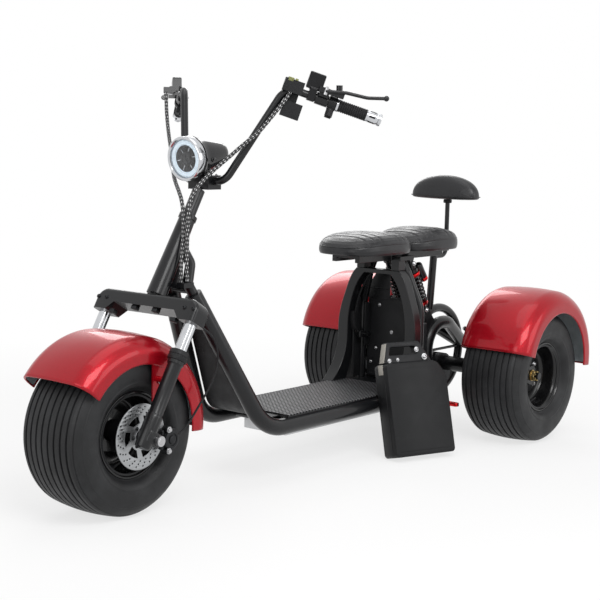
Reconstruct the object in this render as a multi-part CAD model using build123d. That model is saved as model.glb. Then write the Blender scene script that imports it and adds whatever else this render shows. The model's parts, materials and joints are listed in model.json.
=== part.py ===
from build123d import *
from math import cos, radians, sin, tan
import os

# Electric three-wheel scooter: one front wheel in a raked fork, two rear wheels on an axle,
# a step-through deck, a battery bay under two seats and a tall swept handlebar.
#
# Frame: millimetres, +X forward, +Y to the rider's left, +Z up, ground at z = 0, origin at the
# middle of the footprint.  Every node is written to parts/NODE.step.

os.makedirs("parts", exist_ok=True)

# ---------------------------------------------------------------- driving dimensions (mm)
# overall
wheelbase = 1600
track = 680
# tyres and rims
tyre_diameter = 450
tyre_width = 230
rim_seat_radius = 104
rim_flange_radius = 118
rim_half_width = 93
rim_wall = 5
# steering
rake_deg = 30
axle_setback = 24
steering_stop_deg = 38
fork_leg_spread = 165
stanchion_radius = 17
fork_lower_radius = 23
crown_bottom_s = 322
crown_top_s = 386
crown_half_width = 192
crown_depth = 62
head_tube_top_s = 640
head_tube_radius = 29
stem_radius = 18
stem_top_s = 722
# fenders
fender_wall = 3.5
front_fender_radius = 270
front_fender_half_width = 130
rear_fender_radius = 255
rear_fender_half_width = 134
fender_skirt = 76
fender_corner = 42
# frame
main_tube_radius = 25
deck_half_width = 135
deck_tube_z = 164
deck_mat_top_z = 197
arch_leg_outside = 159
arch_leg_inside = 118
arch_top_z = 582
# seats
seat_bottom_z = 642
seat_thickness = 70
seat_half_width = 122
# handlebar
bar_radius = 11
grip_radius = 17
grip_length = 118
# fits and gaps
running_gap = 0.05
seat_gap = 0.3
moving_gap = 6

# ---------------------------------------------------------------- derived stations
tyre_radius = tyre_diameter / 2
rear_fender_front_deg = 15
rear_fender_rear_deg = 186
rear_fender_back = 32
rear_fender_lift = 41
rear_reach = rear_fender_radius + rear_fender_back
front_reach = wheelbase + tyre_radius
rear_x = -(front_reach - rear_reach) / 2
front_x = rear_x + wheelbase
half_track = track / 2
rake = radians(rake_deg)
steer_up = Vector(-sin(rake), 0, cos(rake))
steer_forward = Vector(cos(rake), 0, sin(rake))
steer_origin = Vector(front_x, 0, tyre_radius) + steer_forward * axle_setback

nodes = {}


# ---------------------------------------------------------------- helpers
def save(name, *solids):
    """Keep the solids of one node; several solids share a node as a compound."""
    flat = [solid for shape in solids for solid in shape.solids()]
    nodes[name] = flat[0] if len(flat) == 1 else Compound(children=flat)


def at_rear(x, y, z):
    """A point given from the rear axle's x."""
    return Vector(rear_x + x, y, z)


def steer(t, y, s):
    """A point t forward of the steering axis, y to the left and s up along it."""
    return steer_origin + steer_forward * t + Vector(0, y, 0) + steer_up * s


def rod(start, end, radius):
    """A straight round bar between two points."""
    start, end = Vector(start), Vector(end)
    axis = end - start
    return Plane(origin=start, z_dir=axis) * Cylinder(
        radius, axis.length, align=(Align.CENTER, Align.CENTER, Align.MIN)
    )


def cone(start, end, start_radius, end_radius):
    """A straight tapered bar between two points."""
    start, end = Vector(start), Vector(end)
    axis = end - start
    return Plane(origin=start, z_dir=axis) * Cone(
        start_radius, end_radius, axis.length, align=(Align.CENTER, Align.CENTER, Align.MIN)
    )


def bent_rod(points, bends, radius):
    """A round bar along straight runs joined by tangent arcs."""
    path = FilletPolyline(*points, radius=bends)
    section = Plane(origin=path @ 0, z_dir=path % 0) * Circle(radius)
    return sweep(section, path=path)


def mirrored(shape):
    """The same piece on the other side of the scooter."""
    return mirror(shape, about=Plane.XZ)


def both_sides(shape):
    """A left piece and its right mirror image."""
    return [shape, mirrored(shape)]


def lathe(points, centre):
    """A solid turned about a left-right axis: points are (y, radius) from the centre."""
    outline = Polyline(*[(y, radius) for y, radius in points], close=True)
    face = Plane(origin=centre, x_dir=(0, 1, 0), z_dir=(-1, 0, 0)) * make_face(outline)
    return revolve(face, Axis(centre, (0, 1, 0)), 360)


def slab(x_min, x_max, y_min, y_max, z_min, z_max):
    """A box by its limits, x from the rear axle."""
    return Pos(rear_x + x_min, y_min, z_min) * Box(
        x_max - x_min, y_max - y_min, z_max - z_min, align=Align.MIN
    )


# ---------------------------------------------------------------- wheels
def tyre(centre):
    """A wide low-pressure tyre as one ring."""
    half = tyre_width / 2
    bead = rim_half_width - rim_wall
    tread = Plane(origin=centre, x_dir=(0, 1, 0), z_dir=(-1, 0, 0))
    shoulder_y = half - 1.2
    left = [(half - 28, tyre_radius - 6), (half - 10, tyre_radius - 22), (shoulder_y, tyre_radius - 52)]
    side = [(shoulder_y, tyre_radius - 52), (half - 4, tyre_radius - 84), (bead, rim_flange_radius + 1)]
    flip = [(-y, radius) for y, radius in left]
    flip_side = [(-y, radius) for y, radius in side]
    outline = [
        ThreePointArc(flip[0], (0, tyre_radius), left[0]),
        ThreePointArc(*left),
        ThreePointArc(*side),
        Line(side[2], (bead, rim_seat_radius)),
        Line((bead, rim_seat_radius), (-bead, rim_seat_radius)),
        Line((-bead, rim_seat_radius), flip_side[2]),
        ThreePointArc(*reversed(flip_side)),
        ThreePointArc(*reversed(flip)),
    ]
    return revolve(tread * make_face(outline), Axis(centre, (0, 1, 0)), 360)


def rim(centre, web_y, hub_radius, hub_left, hub_right, bore_radius):
    """A deep-dish rim: barrel, two flanges, one web and a hub tube, bored for its axle."""
    wide = rim_half_width
    bead = wide - rim_wall
    seat = rim_seat_radius
    inner = seat - rim_wall
    barrel = lathe(
        [(-wide, inner), (wide, inner), (wide, rim_flange_radius), (bead, rim_flange_radius),
         (bead, seat), (-bead, seat), (-bead, rim_flange_radius), (-wide, rim_flange_radius)],
        centre,
    )
    web_half = 4
    web = lathe(
        [(web_y - web_half, hub_radius), (web_y + web_half, hub_radius),
         (web_y + web_half, inner), (web_y - web_half, inner)],
        centre,
    )
    hub = lathe(
        [(hub_right, bore_radius), (hub_left, bore_radius), (hub_left, hub_radius),
         (hub_right, hub_radius)],
        centre,
    )
    return barrel + web + hub


front_centre = Vector(front_x, 0, tyre_radius)
axle_radius = 8
disc_y = 118.5
disc_thickness = 3
disc_radius = 89
front_hub_radius = 27
front_hub_end = disc_y

save("front_tyre", tyre(front_centre))
front_rim = rim(
    front_centre, 0, front_hub_radius, front_hub_end, -front_hub_end, axle_radius + running_gap
)
save("front_rim", front_rim)
disc = lathe(
    [(disc_y, axle_radius + 4), (disc_y + disc_thickness, axle_radius + 4),
     (disc_y + disc_thickness, disc_radius), (disc_y, disc_radius)],
    front_centre,
)
save("brake_disc", disc)

rear_axle_radius = 12
rear_hub_radius = 34
rear_hub_end = 48
rear_web_y = 20
nut_radius = 19
nut_height = 22
for side, name in ((1, "left"), (-1, "right")):
    centre = Vector(rear_x, side * half_track, tyre_radius)
    save("rear_tyre_" + name, tyre(centre))
    hub_ends = sorted((side * rear_hub_end, -side * rear_hub_end))
    wheel = rim(
        centre, side * rear_web_y, rear_hub_radius, hub_ends[1], hub_ends[0],
        rear_axle_radius + running_gap,
    )
    save("rear_rim_" + name, wheel)


# ---------------------------------------------------------------- steering
def fork_parts():
    """Crown, stem, legs and the axle that they carry."""
    half_depth = crown_depth / 2
    arch_half_width = 126
    arch_s = 346
    end_radius = 34
    y_dir = Vector(0, 1, 0)
    profile_plane = Plane(origin=steer(half_depth, 0, 0), x_dir=y_dir, z_dir=-steer_forward)
    outline = Polyline(
        (-crown_half_width, crown_bottom_s), (-arch_half_width - 14, crown_bottom_s),
        (-arch_half_width + 10, arch_s), (arch_half_width - 10, arch_s),
        (arch_half_width + 14, crown_bottom_s), (crown_half_width, crown_bottom_s),
        (crown_half_width, crown_top_s), (-crown_half_width, crown_top_s), close=True,
    )
    face = make_face(outline)
    corners = face.vertices().sort_by(Axis.Y)[-2:]
    face = fillet(corners, end_radius)
    flip = -1 if profile_plane.y_dir.Z < 0 else 1
    if flip < 0:
        face = mirror(face, about=Plane.XZ)
    crown = extrude(profile_plane * face, crown_depth)
    crown_round = 12
    crown = fillet(crown.edges().filter_by(lambda e: e.length > 2 * arch_half_width), crown_round)
    stem = rod(steer(0, 0, crown_top_s - crown_round), steer(0, 0, stem_top_s), stem_radius)
    save("fork_crown", crown + stem)

    collar_s = 216
    collar_height = 28
    collar_radius = 27
    leg_bottom_s = -34
    foot_half = fork_lower_radius + 1
    foot_depth = 30
    legs = []
    lowers = []
    for y in (fork_leg_spread, -fork_leg_spread):
        stanchion = rod(steer(0, y, collar_s + collar_height), steer(0, y, crown_bottom_s),
                        stanchion_radius)
        lower = rod(steer(0, y, leg_bottom_s), steer(0, y, collar_s), fork_lower_radius)
        collar = rod(steer(0, y, collar_s), steer(0, y, collar_s + collar_height), collar_radius)
        foot_plane = Plane(
            origin=steer(-axle_setback / 2, y, 0), x_dir=steer_forward, z_dir=steer_up
        )
        foot = foot_plane * Box(axle_setback + foot_depth, 2 * foot_half, foot_depth + 8)
        foot_bore = rod(
            Vector(front_x, y - 2 * foot_half, tyre_radius),
            Vector(front_x, y + 2 * foot_half, tyre_radius),
            axle_radius,
        )
        legs.append(stanchion)
        lowers.append(lower + collar + foot - foot_bore)
    save("fork_stanchions", *legs)
    save("fork_lowers", *lowers)

    axle_end = fork_leg_spread + 22
    axle = rod(Vector(front_x, -axle_end, tyre_radius), Vector(front_x, axle_end, tyre_radius),
               axle_radius)
    spacer_radius = 13
    foot_inner = fork_leg_spread - foot_half
    spacers = [
        rod(Vector(front_x, side * (disc_y + disc_thickness + 1), tyre_radius),
            Vector(front_x, side * foot_inner, tyre_radius), spacer_radius)
        for side in (1, -1)
    ]
    nut_inner = fork_leg_spread + foot_half
    nuts = [
        rod(Vector(front_x, side * nut_inner, tyre_radius),
            Vector(front_x, side * (nut_inner + 10), tyre_radius), 14)
        for side in (1, -1)
    ]
    save("front_axle", axle + spacers[0] + spacers[1] + nuts[0] + nuts[1])


fork_parts()


def fender_section(half_width, top, skirt, corner):
    """The arched sheet section of a fender, as (y, radius) from the wheel's axis."""
    sag = 10
    shoulder = top - sag

    def shell(shrink):
        wide = half_width - shrink
        low = top - skirt - shrink
        face = make_face([
            ThreePointArc((-wide, shoulder - shrink), (0, top - shrink), (wide, shoulder - shrink)),
            Line((wide, shoulder - shrink), (wide, low)),
            Line((wide, low), (-wide, low)),
            Line((-wide, low), (-wide, shoulder - shrink)),
        ])
        corners = face.vertices().sort_by(Axis.Y)[-2:]
        return fillet(corners, corner - shrink)

    return shell(0) - shell(fender_wall)


def fender(centre, half_width, top, start_deg, end_deg):
    """A fender round a wheel, from start to end measured from straight ahead over the top."""
    section = fender_section(half_width, top, fender_skirt, fender_corner)
    start = radians(start_deg)
    outward = Vector(cos(start), 0, sin(start))
    plane = Plane(origin=centre, x_dir=(0, 1, 0), z_dir=Vector(0, 1, 0).cross(outward))
    if plane.y_dir.dot(outward) < 0:
        plane = Plane(origin=centre, x_dir=(0, -1, 0), z_dir=outward.cross(Vector(0, 1, 0)))
    return revolve(plane * section, Axis(centre, (0, -1, 0)), end_deg - start_deg)


front_fender = fender(front_centre, front_fender_half_width, front_fender_radius, 38, 184)
save("front_fender", front_fender)

rear_fender_shift = 4
rear_fender_centre = at_rear(-rear_fender_back, half_track + rear_fender_shift,
                             tyre_radius + rear_fender_lift)
rear_fender = fender(rear_fender_centre, rear_fender_half_width, rear_fender_radius,
                     rear_fender_front_deg, rear_fender_rear_deg)
save("rear_fenders", *both_sides(rear_fender))


# ---------------------------------------------------------------- handlebar and controls
bar_low = at_rear(1236, 76, 889)
bar_bend = at_rear(1120, 196, 1156)
bar_end = at_rear(944, 388, 1072)


def left_right(point):
    """A point mirrored to the right side."""
    return Vector(point.X, -point.Y, point.Z)


bar_out = (bar_end - bar_bend).normalized()
bar_front = Vector(bar_out.Y, -bar_out.X, 0).normalized()
bar_up = bar_front.cross(bar_out)


def on_bar(distance, forward=0, up=0):
    """A point beside the left grip's straight, measured inboard from the bar's end."""
    return bar_end - bar_out * distance + bar_front * forward + bar_up * up


handlebar = bent_rod(
    [left_right(bar_end), left_right(bar_bend), left_right(bar_low), bar_low, bar_bend, bar_end],
    [48, 42, 42, 48], bar_radius,
)
save("handlebar", handlebar)
grip_gap = 0.02
grip = rod(on_bar(0), on_bar(grip_length), grip_radius) - rod(
    on_bar(-5), on_bar(grip_length + 5), bar_radius + grip_gap
)
cap = rod(on_bar(-9), on_bar(0), grip_radius + 1)
save("grips", *both_sides(grip))
save("grip_caps", *both_sides(cap))


# ---------------------------------------------------------------- main frame
neck_y = 42
neck_z = 575
neck_x = 1322
bend_x = 1100
tube_y = deck_half_width - 7
deck_rear_x = 205
main_bend = 130
neck_tube_radius = 15

neck_top = at_rear(neck_x, neck_y, neck_z)
tube_bend = at_rear(bend_x, tube_y, deck_tube_z)
tube_rear = at_rear(deck_rear_x, tube_y, deck_tube_z)
main_tube = bent_rod([neck_top, tube_bend, tube_rear], main_bend, main_tube_radius)
save("main_tubes", *both_sides(main_tube))


def head_tube_part():
    """Head tube, the two curved neck tubes behind it and the web between them."""
    bottom_s = crown_top_s + moving_gap
    tube = cone(steer(0, 0, bottom_s), steer(0, 0, head_tube_top_s),
                head_tube_radius, stem_radius + 5)
    cap_height = 12
    top_cap = rod(steer(0, 0, head_tube_top_s - cap_height), steer(0, 0, head_tube_top_s),
                  stem_radius + 8)
    neck_high = steer(-8, 12, 548)
    neck_mid = at_rear(neck_x - 4, 32, neck_z + 62)
    along = (neck_top - tube_bend).normalized()
    neck = bent_rod([neck_top, neck_top + along * 34, neck_mid + Vector(6, 0, 24), neck_high],
                    [24, 24], neck_tube_radius)
    bridge_radius = 10
    bridge_end = neck_top + along * (bridge_radius + 2)
    bridge = rod(left_right(bridge_end), bridge_end, bridge_radius)
    web_outline = Polyline(
        (steer(-20, 0, 430).X, steer(-20, 0, 430).Z),
        (steer(-14, 0, 560).X, steer(-14, 0, 560).Z),
        (at_rear(neck_x + 6, 0, 0).X, neck_z + 40),
        (at_rear(neck_x + 2, 0, 0).X, neck_z + 8),
        close=True,
    )
    web_half = 4
    web = extrude(Plane.XZ * make_face(web_outline), web_half, both=True)
    guide = slab(1340, 1380, 34, 62, neck_z + 22, neck_z + 36)
    body = tube + top_cap + neck + mirrored(neck) + bridge + web + guide
    bore = rod(steer(0, 0, bottom_s - 5), steer(0, 0, head_tube_top_s + 5),
               stem_radius + running_gap)
    return body - bore


save("head_tube", head_tube_part())

# deck
pan_wall = 3
pan_bottom_z = deck_tube_z + main_tube_radius + seat_gap
pan_top_z = pan_bottom_z + pan_wall
pan_front_x = bend_x - 98
pan_rear_x = deck_rear_x + 5
pan = slab(pan_rear_x, pan_front_x, -deck_half_width, deck_half_width, pan_bottom_z, pan_top_z)
cross_radius = 12
cross_x = (deck_rear_x + 20, 420, 700, 960)
bars = [
    rod(at_rear(x, -tube_y, deck_tube_z), at_rear(x, tube_y, deck_tube_z), cross_radius)
    - main_tube - mirrored(main_tube)
    for x in cross_x
]
save("cross_members", *bars)
mat_rear_x = 384
foot_rear_x = 383
foot_front_x = 465
notch_gap = 2
foot_notch = slab(mat_rear_x - notch_gap, foot_front_x + notch_gap, arch_leg_inside - notch_gap,
                  deck_half_width, pan_top_z - 1, deck_mat_top_z + 1)
mat = slab(mat_rear_x, pan_front_x, -deck_half_width + 1, deck_half_width - 1,
           pan_top_z, deck_mat_top_z)
save("deck_pan", pan)
save("deck_mat", mat - foot_notch - mirrored(foot_notch))

tray_half_width = 84
tray_top_z = deck_tube_z - cross_radius
tray_depth = 34
save("under_tray", slab(430, 950, -tray_half_width, tray_half_width,
                        tray_top_z - tray_depth, tray_top_z - seat_gap))

# plate between the two tubes behind the front wheel, curving up from the deck pan
incline = (neck_top - tube_bend).normalized()
upward = Vector(incline.X, 0, incline.Z).normalized()
gap_half_width = tube_y - main_tube_radius - 2
narrowing = -incline.Y / Vector(incline.X, 0, incline.Z).length
plate_top = 340
plate_start = at_rear(pan_front_x + seat_gap, 0, pan_top_z - pan_wall / 2)
plate_corner = at_rear(bend_x - 8, 0, pan_top_z - pan_wall / 2)
plate_path = FilletPolyline(plate_start, plate_corner, plate_corner + upward * plate_top, radius=90)
plate_section = Plane(origin=plate_start, x_dir=(0, 1, 0), z_dir=(1, 0, 0)) * Rectangle(
    2 * gap_half_width, pan_wall)
plate_front = Plane(origin=plate_corner, x_dir=(0, 1, 0), z_dir=Vector(0, 1, 0).cross(upward))
narrow_width = gap_half_width - narrowing * (plate_top + 40)
plate_limit = make_face(Polyline(
    (-gap_half_width, -200), (gap_half_width, -200), (gap_half_width, 0),
    (narrow_width, plate_top + 40), (-narrow_width, plate_top + 40), (-gap_half_width, 0),
    close=True,
))
splash_plate = sweep(plate_section, path=plate_path) & extrude(
    plate_front * plate_limit, 200, both=True)
save("splash_plate", splash_plate)

# ---------------------------------------------------------------- seat frame and battery bay
arch_rear_x = 343
arch_front_x = 381
arch_foot_z = 350
arch_foot_bottom_z = pan_top_z + seat_gap
rear_tube_radius = 15


def arch_outline(foot_y, points, top_y, top_z):
    """One half contour of the arch: up the leg, over the shoulder and in to the middle."""
    leg_top = (foot_y, points[0][1])
    return [
        Line((foot_y, arch_foot_z), leg_top),
        Spline(leg_top, *points[1:], (top_y, top_z - 7), tangents=[(0, 1), (-1, 1)]),
        Line((top_y, top_z - 7), (top_y - 7, top_z)),
        Line((top_y - 7, top_z), (0, top_z)),
    ]


def arch_half():
    """The left half of the wide arch that stands across the deck."""
    outside = arch_outline(arch_leg_outside, [(0, 376), (149, 446), (126, 514)], 94, arch_top_z)
    inside = arch_outline(arch_leg_inside, [(0, 381), (111, 446), (91, 512)], 59,
                          arch_top_z - 14)
    face = make_face([
        *outside,
        Line((0, arch_top_z), (0, arch_top_z - 14)),
        *inside,
        Line((arch_leg_inside, arch_foot_z), (arch_leg_outside, arch_foot_z)),
    ])
    plane = Plane(origin=at_rear(arch_rear_x, 0, 0), x_dir=(0, 1, 0), z_dir=(1, 0, 0))
    return extrude(plane * face, arch_front_x - arch_rear_x)


def arch_foot():
    """The left foot: it sweeps forward and spreads where it stands on the deck edge."""
    bottom = arch_foot_bottom_z
    face = make_face([
        Line((arch_rear_x, arch_foot_z), (arch_front_x, arch_foot_z)),
        Spline((arch_front_x, arch_foot_z), (391, 292), (421, 236), (foot_front_x, bottom),
               tangents=[(0, -1), (1, -0.9)]),
        Line((foot_front_x, bottom), (foot_rear_x, bottom)),
        Spline((foot_rear_x, bottom), (356, 258), (arch_rear_x, arch_foot_z),
               tangents=[(-0.5, 1), (0, 1)]),
    ])
    plane = Plane(origin=at_rear(0, arch_leg_inside, 0), x_dir=(1, 0, 0), z_dir=(0, -1, 0))
    return extrude(plane * face, arch_leg_inside - arch_leg_outside)


arch_left = arch_half() + arch_foot()
save("seat_frame", arch_left + mirrored(arch_left))

# seat rails with the bridges that stand on the arch and on the two round arcs
rail_half_y = 9
rail_y = 46
rail_top_z = seat_bottom_z - 12
rail_bottom_z = rail_top_z - 14
rail = slab(70, 560, rail_y - rail_half_y, rail_y + rail_half_y, rail_bottom_z, rail_top_z)
plate_z = rail_top_z
plate_half_y = rail_y + rail_half_y
plate_top_z = seat_bottom_z - seat_gap
bridge_half_y = 92
post = slab(arch_rear_x, arch_front_x, plate_half_y, bridge_half_y - 6,
            arch_top_z + seat_gap, rail_bottom_z)
rails = rail + mirrored(rail)
rails = rails + slab(300, arch_front_x, -bridge_half_y, bridge_half_y, rail_bottom_z, rail_top_z)
rails = rails + post + mirrored(post)
rails = rails + slab(320, 560, -plate_half_y, plate_half_y, plate_z, plate_top_z)
rails = rails + slab(28, 280, -plate_half_y, plate_half_y, plate_z, plate_top_z)
save("seat_rails", rails)

arc_x = 294
arc_y = 118
rear_arc = bent_rod(
    [at_rear(arc_x, arc_y, pan_top_z + seat_gap), at_rear(arc_x, arc_y, 455),
     at_rear(316, 78, 570), at_rear(325, 48, rail_top_z)],
    [150, 70], rear_tube_radius)
rear_arc = rear_arc - slab(arc_x, 400, 0, 200, rail_bottom_z - seat_gap, rail_top_z + 60)
save("seat_arcs", *both_sides(rear_arc))

# upright panel behind the bay, with a raised corner on the right, and the controller behind it
panel_x = 272
panel_half_y = 109
panel_top_z = 478
panel_outline = Polyline(
    (-panel_half_y, arch_foot_bottom_z), (panel_half_y, arch_foot_bottom_z),
    (panel_half_y, panel_top_z), (-20, panel_top_z), (-20, 562), (-62, 562),
    (-panel_half_y, panel_top_z), close=True)
panel_plane = Plane(origin=at_rear(panel_x, 0, 0), x_dir=(0, 1, 0), z_dir=(1, 0, 0))
save("bay_panel", extrude(panel_plane * make_face(panel_outline), pan_wall))
controller_half_y = 96
save("controller_box", slab(214, panel_x - seat_gap, -controller_half_y, controller_half_y,
                            arch_foot_bottom_z, 395))


def seat(x_min, x_max, half_width, z_min, thickness, corner, edge):
    """A simple closed cushion with rounded plan corners and a rounded top edge."""
    length = x_max - x_min
    plan = RectangleRounded(length, 2 * half_width, corner)
    centre = Vector(rear_x + (x_min + x_max) / 2, 0, z_min)
    block = extrude(Plane(origin=centre) * plan, thickness)
    return fillet(block.faces().sort_by(Axis.Z)[-1].edges(), edge)


front_seat_range = (305, 618)
rear_seat_range = (10, 296)
seat_corner = 88
seat_edge = 28
save("front_seat", seat(*front_seat_range, seat_half_width, seat_bottom_z, seat_thickness,
                        seat_corner, seat_edge))
save("rear_seat", seat(*rear_seat_range, seat_half_width - 6, seat_bottom_z,
                       seat_thickness + 6, seat_corner, seat_edge))

# ---------------------------------------------------------------- rear axle, motor and swing arms
ring_tube_radius = 15
ring_x = 7
ring_z = 269
ring_radius_middle = 151
swing_arm_radius = 22
swing_arm_y = 52
swing_leg_x = 146
swing_top_z = 378
housing_radius = 26
housing_end = half_track - rear_hub_end - moving_gap
housing_centre = Vector(rear_x, 0, tyre_radius)
motor_radius = 54
motor_x = 15
motor_z = 208
motor_half = 40
stub_end = half_track + rear_hub_end + nut_height + 8
left_end = Vector(0, stub_end, 0)
left_housing = Vector(0, housing_end, 0)
inner_y = Vector(0, motor_half, 0)
axle = rod(housing_centre + inner_y, housing_centre + left_housing, housing_radius)
axle = axle + rod(housing_centre + left_housing, housing_centre + left_end, rear_axle_radius)
save("rear_axle", *both_sides(axle))

motor_centre = at_rear(motor_x, 0, motor_z)
motor = rod(motor_centre - inner_y, motor_centre + inner_y, motor_radius)
save("drive_motor", motor)

ring_centre = at_rear(ring_x, 0, ring_z)
ring_bottom_z = ring_z - ring_radius_middle
tie_radius = 9
chord_radius = 5


def hoop(tube_radius):
    """A round tube about the motor."""
    section = Plane(origin=ring_centre + Vector(ring_radius_middle, 0, 0)) * Circle(tube_radius)
    return revolve(section, Axis(ring_centre, (0, 1, 0)), 360)


swing_points = [
    at_rear(cross_x[0], swing_arm_y, deck_tube_z), at_rear(swing_leg_x, swing_arm_y, deck_tube_z),
    at_rear(swing_leg_x, swing_arm_y, swing_top_z), at_rear(22, swing_arm_y, swing_top_z),
    at_rear(-140, 10, 290),
]
swing_bends = [50, 88, 90]
ear_half = 5
ear_plane = Plane(origin=at_rear(0, swing_arm_y - 7, 0), x_dir=(1, 0, 0), z_dir=(0, -1, 0))
ear_face = make_face(Polyline(
    (172, 428), (160, 446), (142, 440), (84, 372), (104, 352), (138, 352), close=True))
ear = extrude(ear_plane * ear_face, ear_half, both=True)
tie = rod(at_rear(ring_x + ring_radius_middle, 0, ring_z),
          at_rear(ring_x + ring_radius_middle, swing_arm_y, ring_z), tie_radius)
hoop_room = hoop(ring_tube_radius + seat_gap)
swing_arm = bent_rod(swing_points, swing_bends, swing_arm_radius) + ear + tie
swing_arm = swing_arm - bars[0] - hoop_room
swing_arm = swing_arm.solids().sort_by(SortBy.VOLUME)[-1]
save("swing_arms", *both_sides(swing_arm))

chord = rod(ring_centre - Vector(ring_radius_middle, 0, 0),
            ring_centre + Vector(ring_radius_middle, 0, 0), chord_radius)
strut = rod(at_rear(motor_x, 0, ring_bottom_z), at_rear(motor_x, 0, motor_z), tie_radius) - motor
save("rear_ring", hoop(ring_tube_radius), strut - hoop_room,
     chord - hoop_room - swing_arm - mirrored(swing_arm))

nut_start = half_track + rear_hub_end + 2
nut = rod(housing_centre + Vector(0, nut_start, 0),
          housing_centre + Vector(0, nut_start + nut_height, 0), nut_radius)
nut = nut - rod(housing_centre + Vector(0, nut_start - 5, 0),
                housing_centre + Vector(0, nut_start + nut_height + 5, 0), rear_axle_radius)
save("axle_nuts", *both_sides(nut))

shock_y = swing_arm_y - 7
shock_top = at_rear(252, shock_y, 598)
shock_bottom = at_rear(158, shock_y, 430)
shock_axis = (shock_bottom - shock_top).normalized()
damper_radius = 13
spring_radius = 22
shock_eye = 34
spring_start = 52
spring_end = 30
shock = (
    rod(shock_top - shock_axis * shock_eye, shock_top + shock_axis * spring_start, damper_radius)
    + rod(shock_top + shock_axis * spring_start, shock_bottom - shock_axis * spring_end,
          spring_radius)
    + rod(shock_bottom - shock_axis * spring_end, shock_bottom + shock_axis * 8, damper_radius)
)
canister_radius = 15
canister_top = at_rear(210, shock_y, 596)
canister_bottom = at_rear(165, shock_y, 536)
canister = rod(canister_top, canister_bottom, canister_radius)
canister_neck = rod(canister_top * 0.7 + canister_bottom * 0.3, shock_top + shock_axis * 30, 7)
shock = shock + canister + canister_neck
shock = shock - slab(-100, 400, -200, 200, rail_bottom_z - seat_gap, seat_bottom_z + 100)
shock = shock - swing_arm
save("shock_absorbers", *both_sides(shock.solids().sort_by(SortBy.VOLUME)[-1]))

seat_post_radius = 13
seat_post_top = at_rear(40, 0, plate_z)
seat_post = rod(at_rear(58, 0, 410), seat_post_top + Vector(-2, 0, 24), seat_post_radius)
seat_post = seat_post - slab(-100, 400, -100, 100, plate_z, seat_bottom_z + 60)
save("rear_seat_post", seat_post - hoop_room)
backrest_x = -36
backrest_z = 606
post_radius = 8
backrest_post = bent_rod(
    [at_rear(44, 0, backrest_z), at_rear(backrest_x, 0, backrest_z), at_rear(backrest_x, 0, 806)],
    30, post_radius)
save("backrest_post", backrest_post - seat_post)

pad_half_width = 133
pad_bottom_z = 806
pad_height = 86
pad_thickness = 82
pad_x = -20
pad_face = make_face([
    Line((-pad_half_width, 0), (pad_half_width, 0)),
    Line((pad_half_width, 0), (pad_half_width, 18)),
    ThreePointArc((pad_half_width, 18), (0, pad_height), (-pad_half_width, 18)),
    Line((-pad_half_width, 18), (-pad_half_width, 0)),
])
pad_plane = Plane(origin=at_rear(pad_x - pad_thickness / 2, 0, pad_bottom_z + seat_gap),
                  x_dir=(0, 1, 0), z_dir=(1, 0, 0))
pad = extrude(pad_plane * pad_face, pad_thickness)
save("backrest_pad", pad)

# ---------------------------------------------------------------- battery pack beside its bay
battery_length = 232
battery_depth = 72
battery_height = 300
battery_lean_deg = 15
battery_yaw_deg = 20
battery_x = 474
lean = radians(battery_lean_deg)
yaw = radians(battery_yaw_deg)
battery_along = Vector(cos(yaw), -sin(yaw), 0)
battery_upward = Vector(-sin(lean) * sin(yaw), -sin(lean) * cos(yaw), cos(lean))
contact = main_tube_radius + seat_gap
lean_run = sin(lean) * cos(yaw)
edge_length = (lean_run ** 2 + cos(lean) ** 2) ** 0.5
edge_y = tube_y + (contact * edge_length + deck_tube_z * lean_run) / cos(lean)
battery_foot_y = edge_y + sin(yaw) * battery_length / 2
battery_plane = Plane(
    origin=at_rear(battery_x, battery_foot_y, 0), x_dir=battery_along, z_dir=battery_upward,
)
case = battery_plane * Box(
    battery_length, battery_depth, battery_height, align=(Align.CENTER, Align.MIN, Align.MIN)
)
save("battery_case", case)
handle_height = 68
handle_depth = 30
handle_outline = Polyline((-80, 0), (112, 0), (92, handle_height), (-34, handle_height),
                          close=True)
handle_slot = Polyline((-24, 26), (86, 26), (79, 52), (-18, 52), close=True)
handle_face = make_face(handle_outline) - make_face(handle_slot)
handle_plane = Plane(
    origin=battery_plane.origin + battery_plane.z_dir * battery_height
    + battery_plane.y_dir * (battery_depth / 2 + handle_depth / 2),
    x_dir=battery_along, z_dir=-battery_plane.y_dir,
)
save("battery_handle", extrude(handle_plane * handle_face, handle_depth))

# ---------------------------------------------------------------- foot pegs
peg_x = 258
peg_axis_y = 180
peg_z = 140
peg_radius = 11
peg_length = 80
pin_radius = 4
ear_gap = 9
ear_wall = 5


def peg_parts():
    """The left peg and the bracket whose pin it folds on."""
    pivot = at_rear(peg_x, peg_axis_y, peg_z)
    reach = Vector(0, peg_axis_y - tube_y, 0)
    bracket = None
    for x_start in (ear_gap, -ear_gap - ear_wall):
        ear = slab(peg_x + x_start, peg_x + x_start + ear_wall, tube_y, peg_axis_y + 9,
                   peg_z - 10, peg_z + 10)
        bracket = ear if bracket is None else bracket + ear
    back = slab(peg_x - ear_gap - ear_wall, peg_x + ear_gap + ear_wall, tube_y,
                peg_axis_y - 16, peg_z - 10, peg_z + 10)
    pin = rod(pivot - Vector(ear_gap + ear_wall + 3, 0, 0),
              pivot + Vector(ear_gap + ear_wall + 3, 0, 0), pin_radius)
    bracket = bracket + back + pin - main_tube
    tongue_half = ear_gap - 0.5
    tongue = slab(peg_x - tongue_half, peg_x + tongue_half, peg_axis_y - 8, peg_axis_y + 22,
                  peg_z - 8, peg_z + 8)
    peg = rod(pivot + Vector(0, 16, 0), pivot + Vector(0, peg_length, 0), peg_radius)
    bore = rod(pivot - Vector(20, 0, 0), pivot + Vector(20, 0, 0), pin_radius + running_gap)
    return bracket, tongue + peg - bore


bracket, peg = peg_parts()
save("peg_brackets", *both_sides(bracket))
save("foot_peg_left", peg)
save("foot_peg_right", mirrored(peg))

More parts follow.
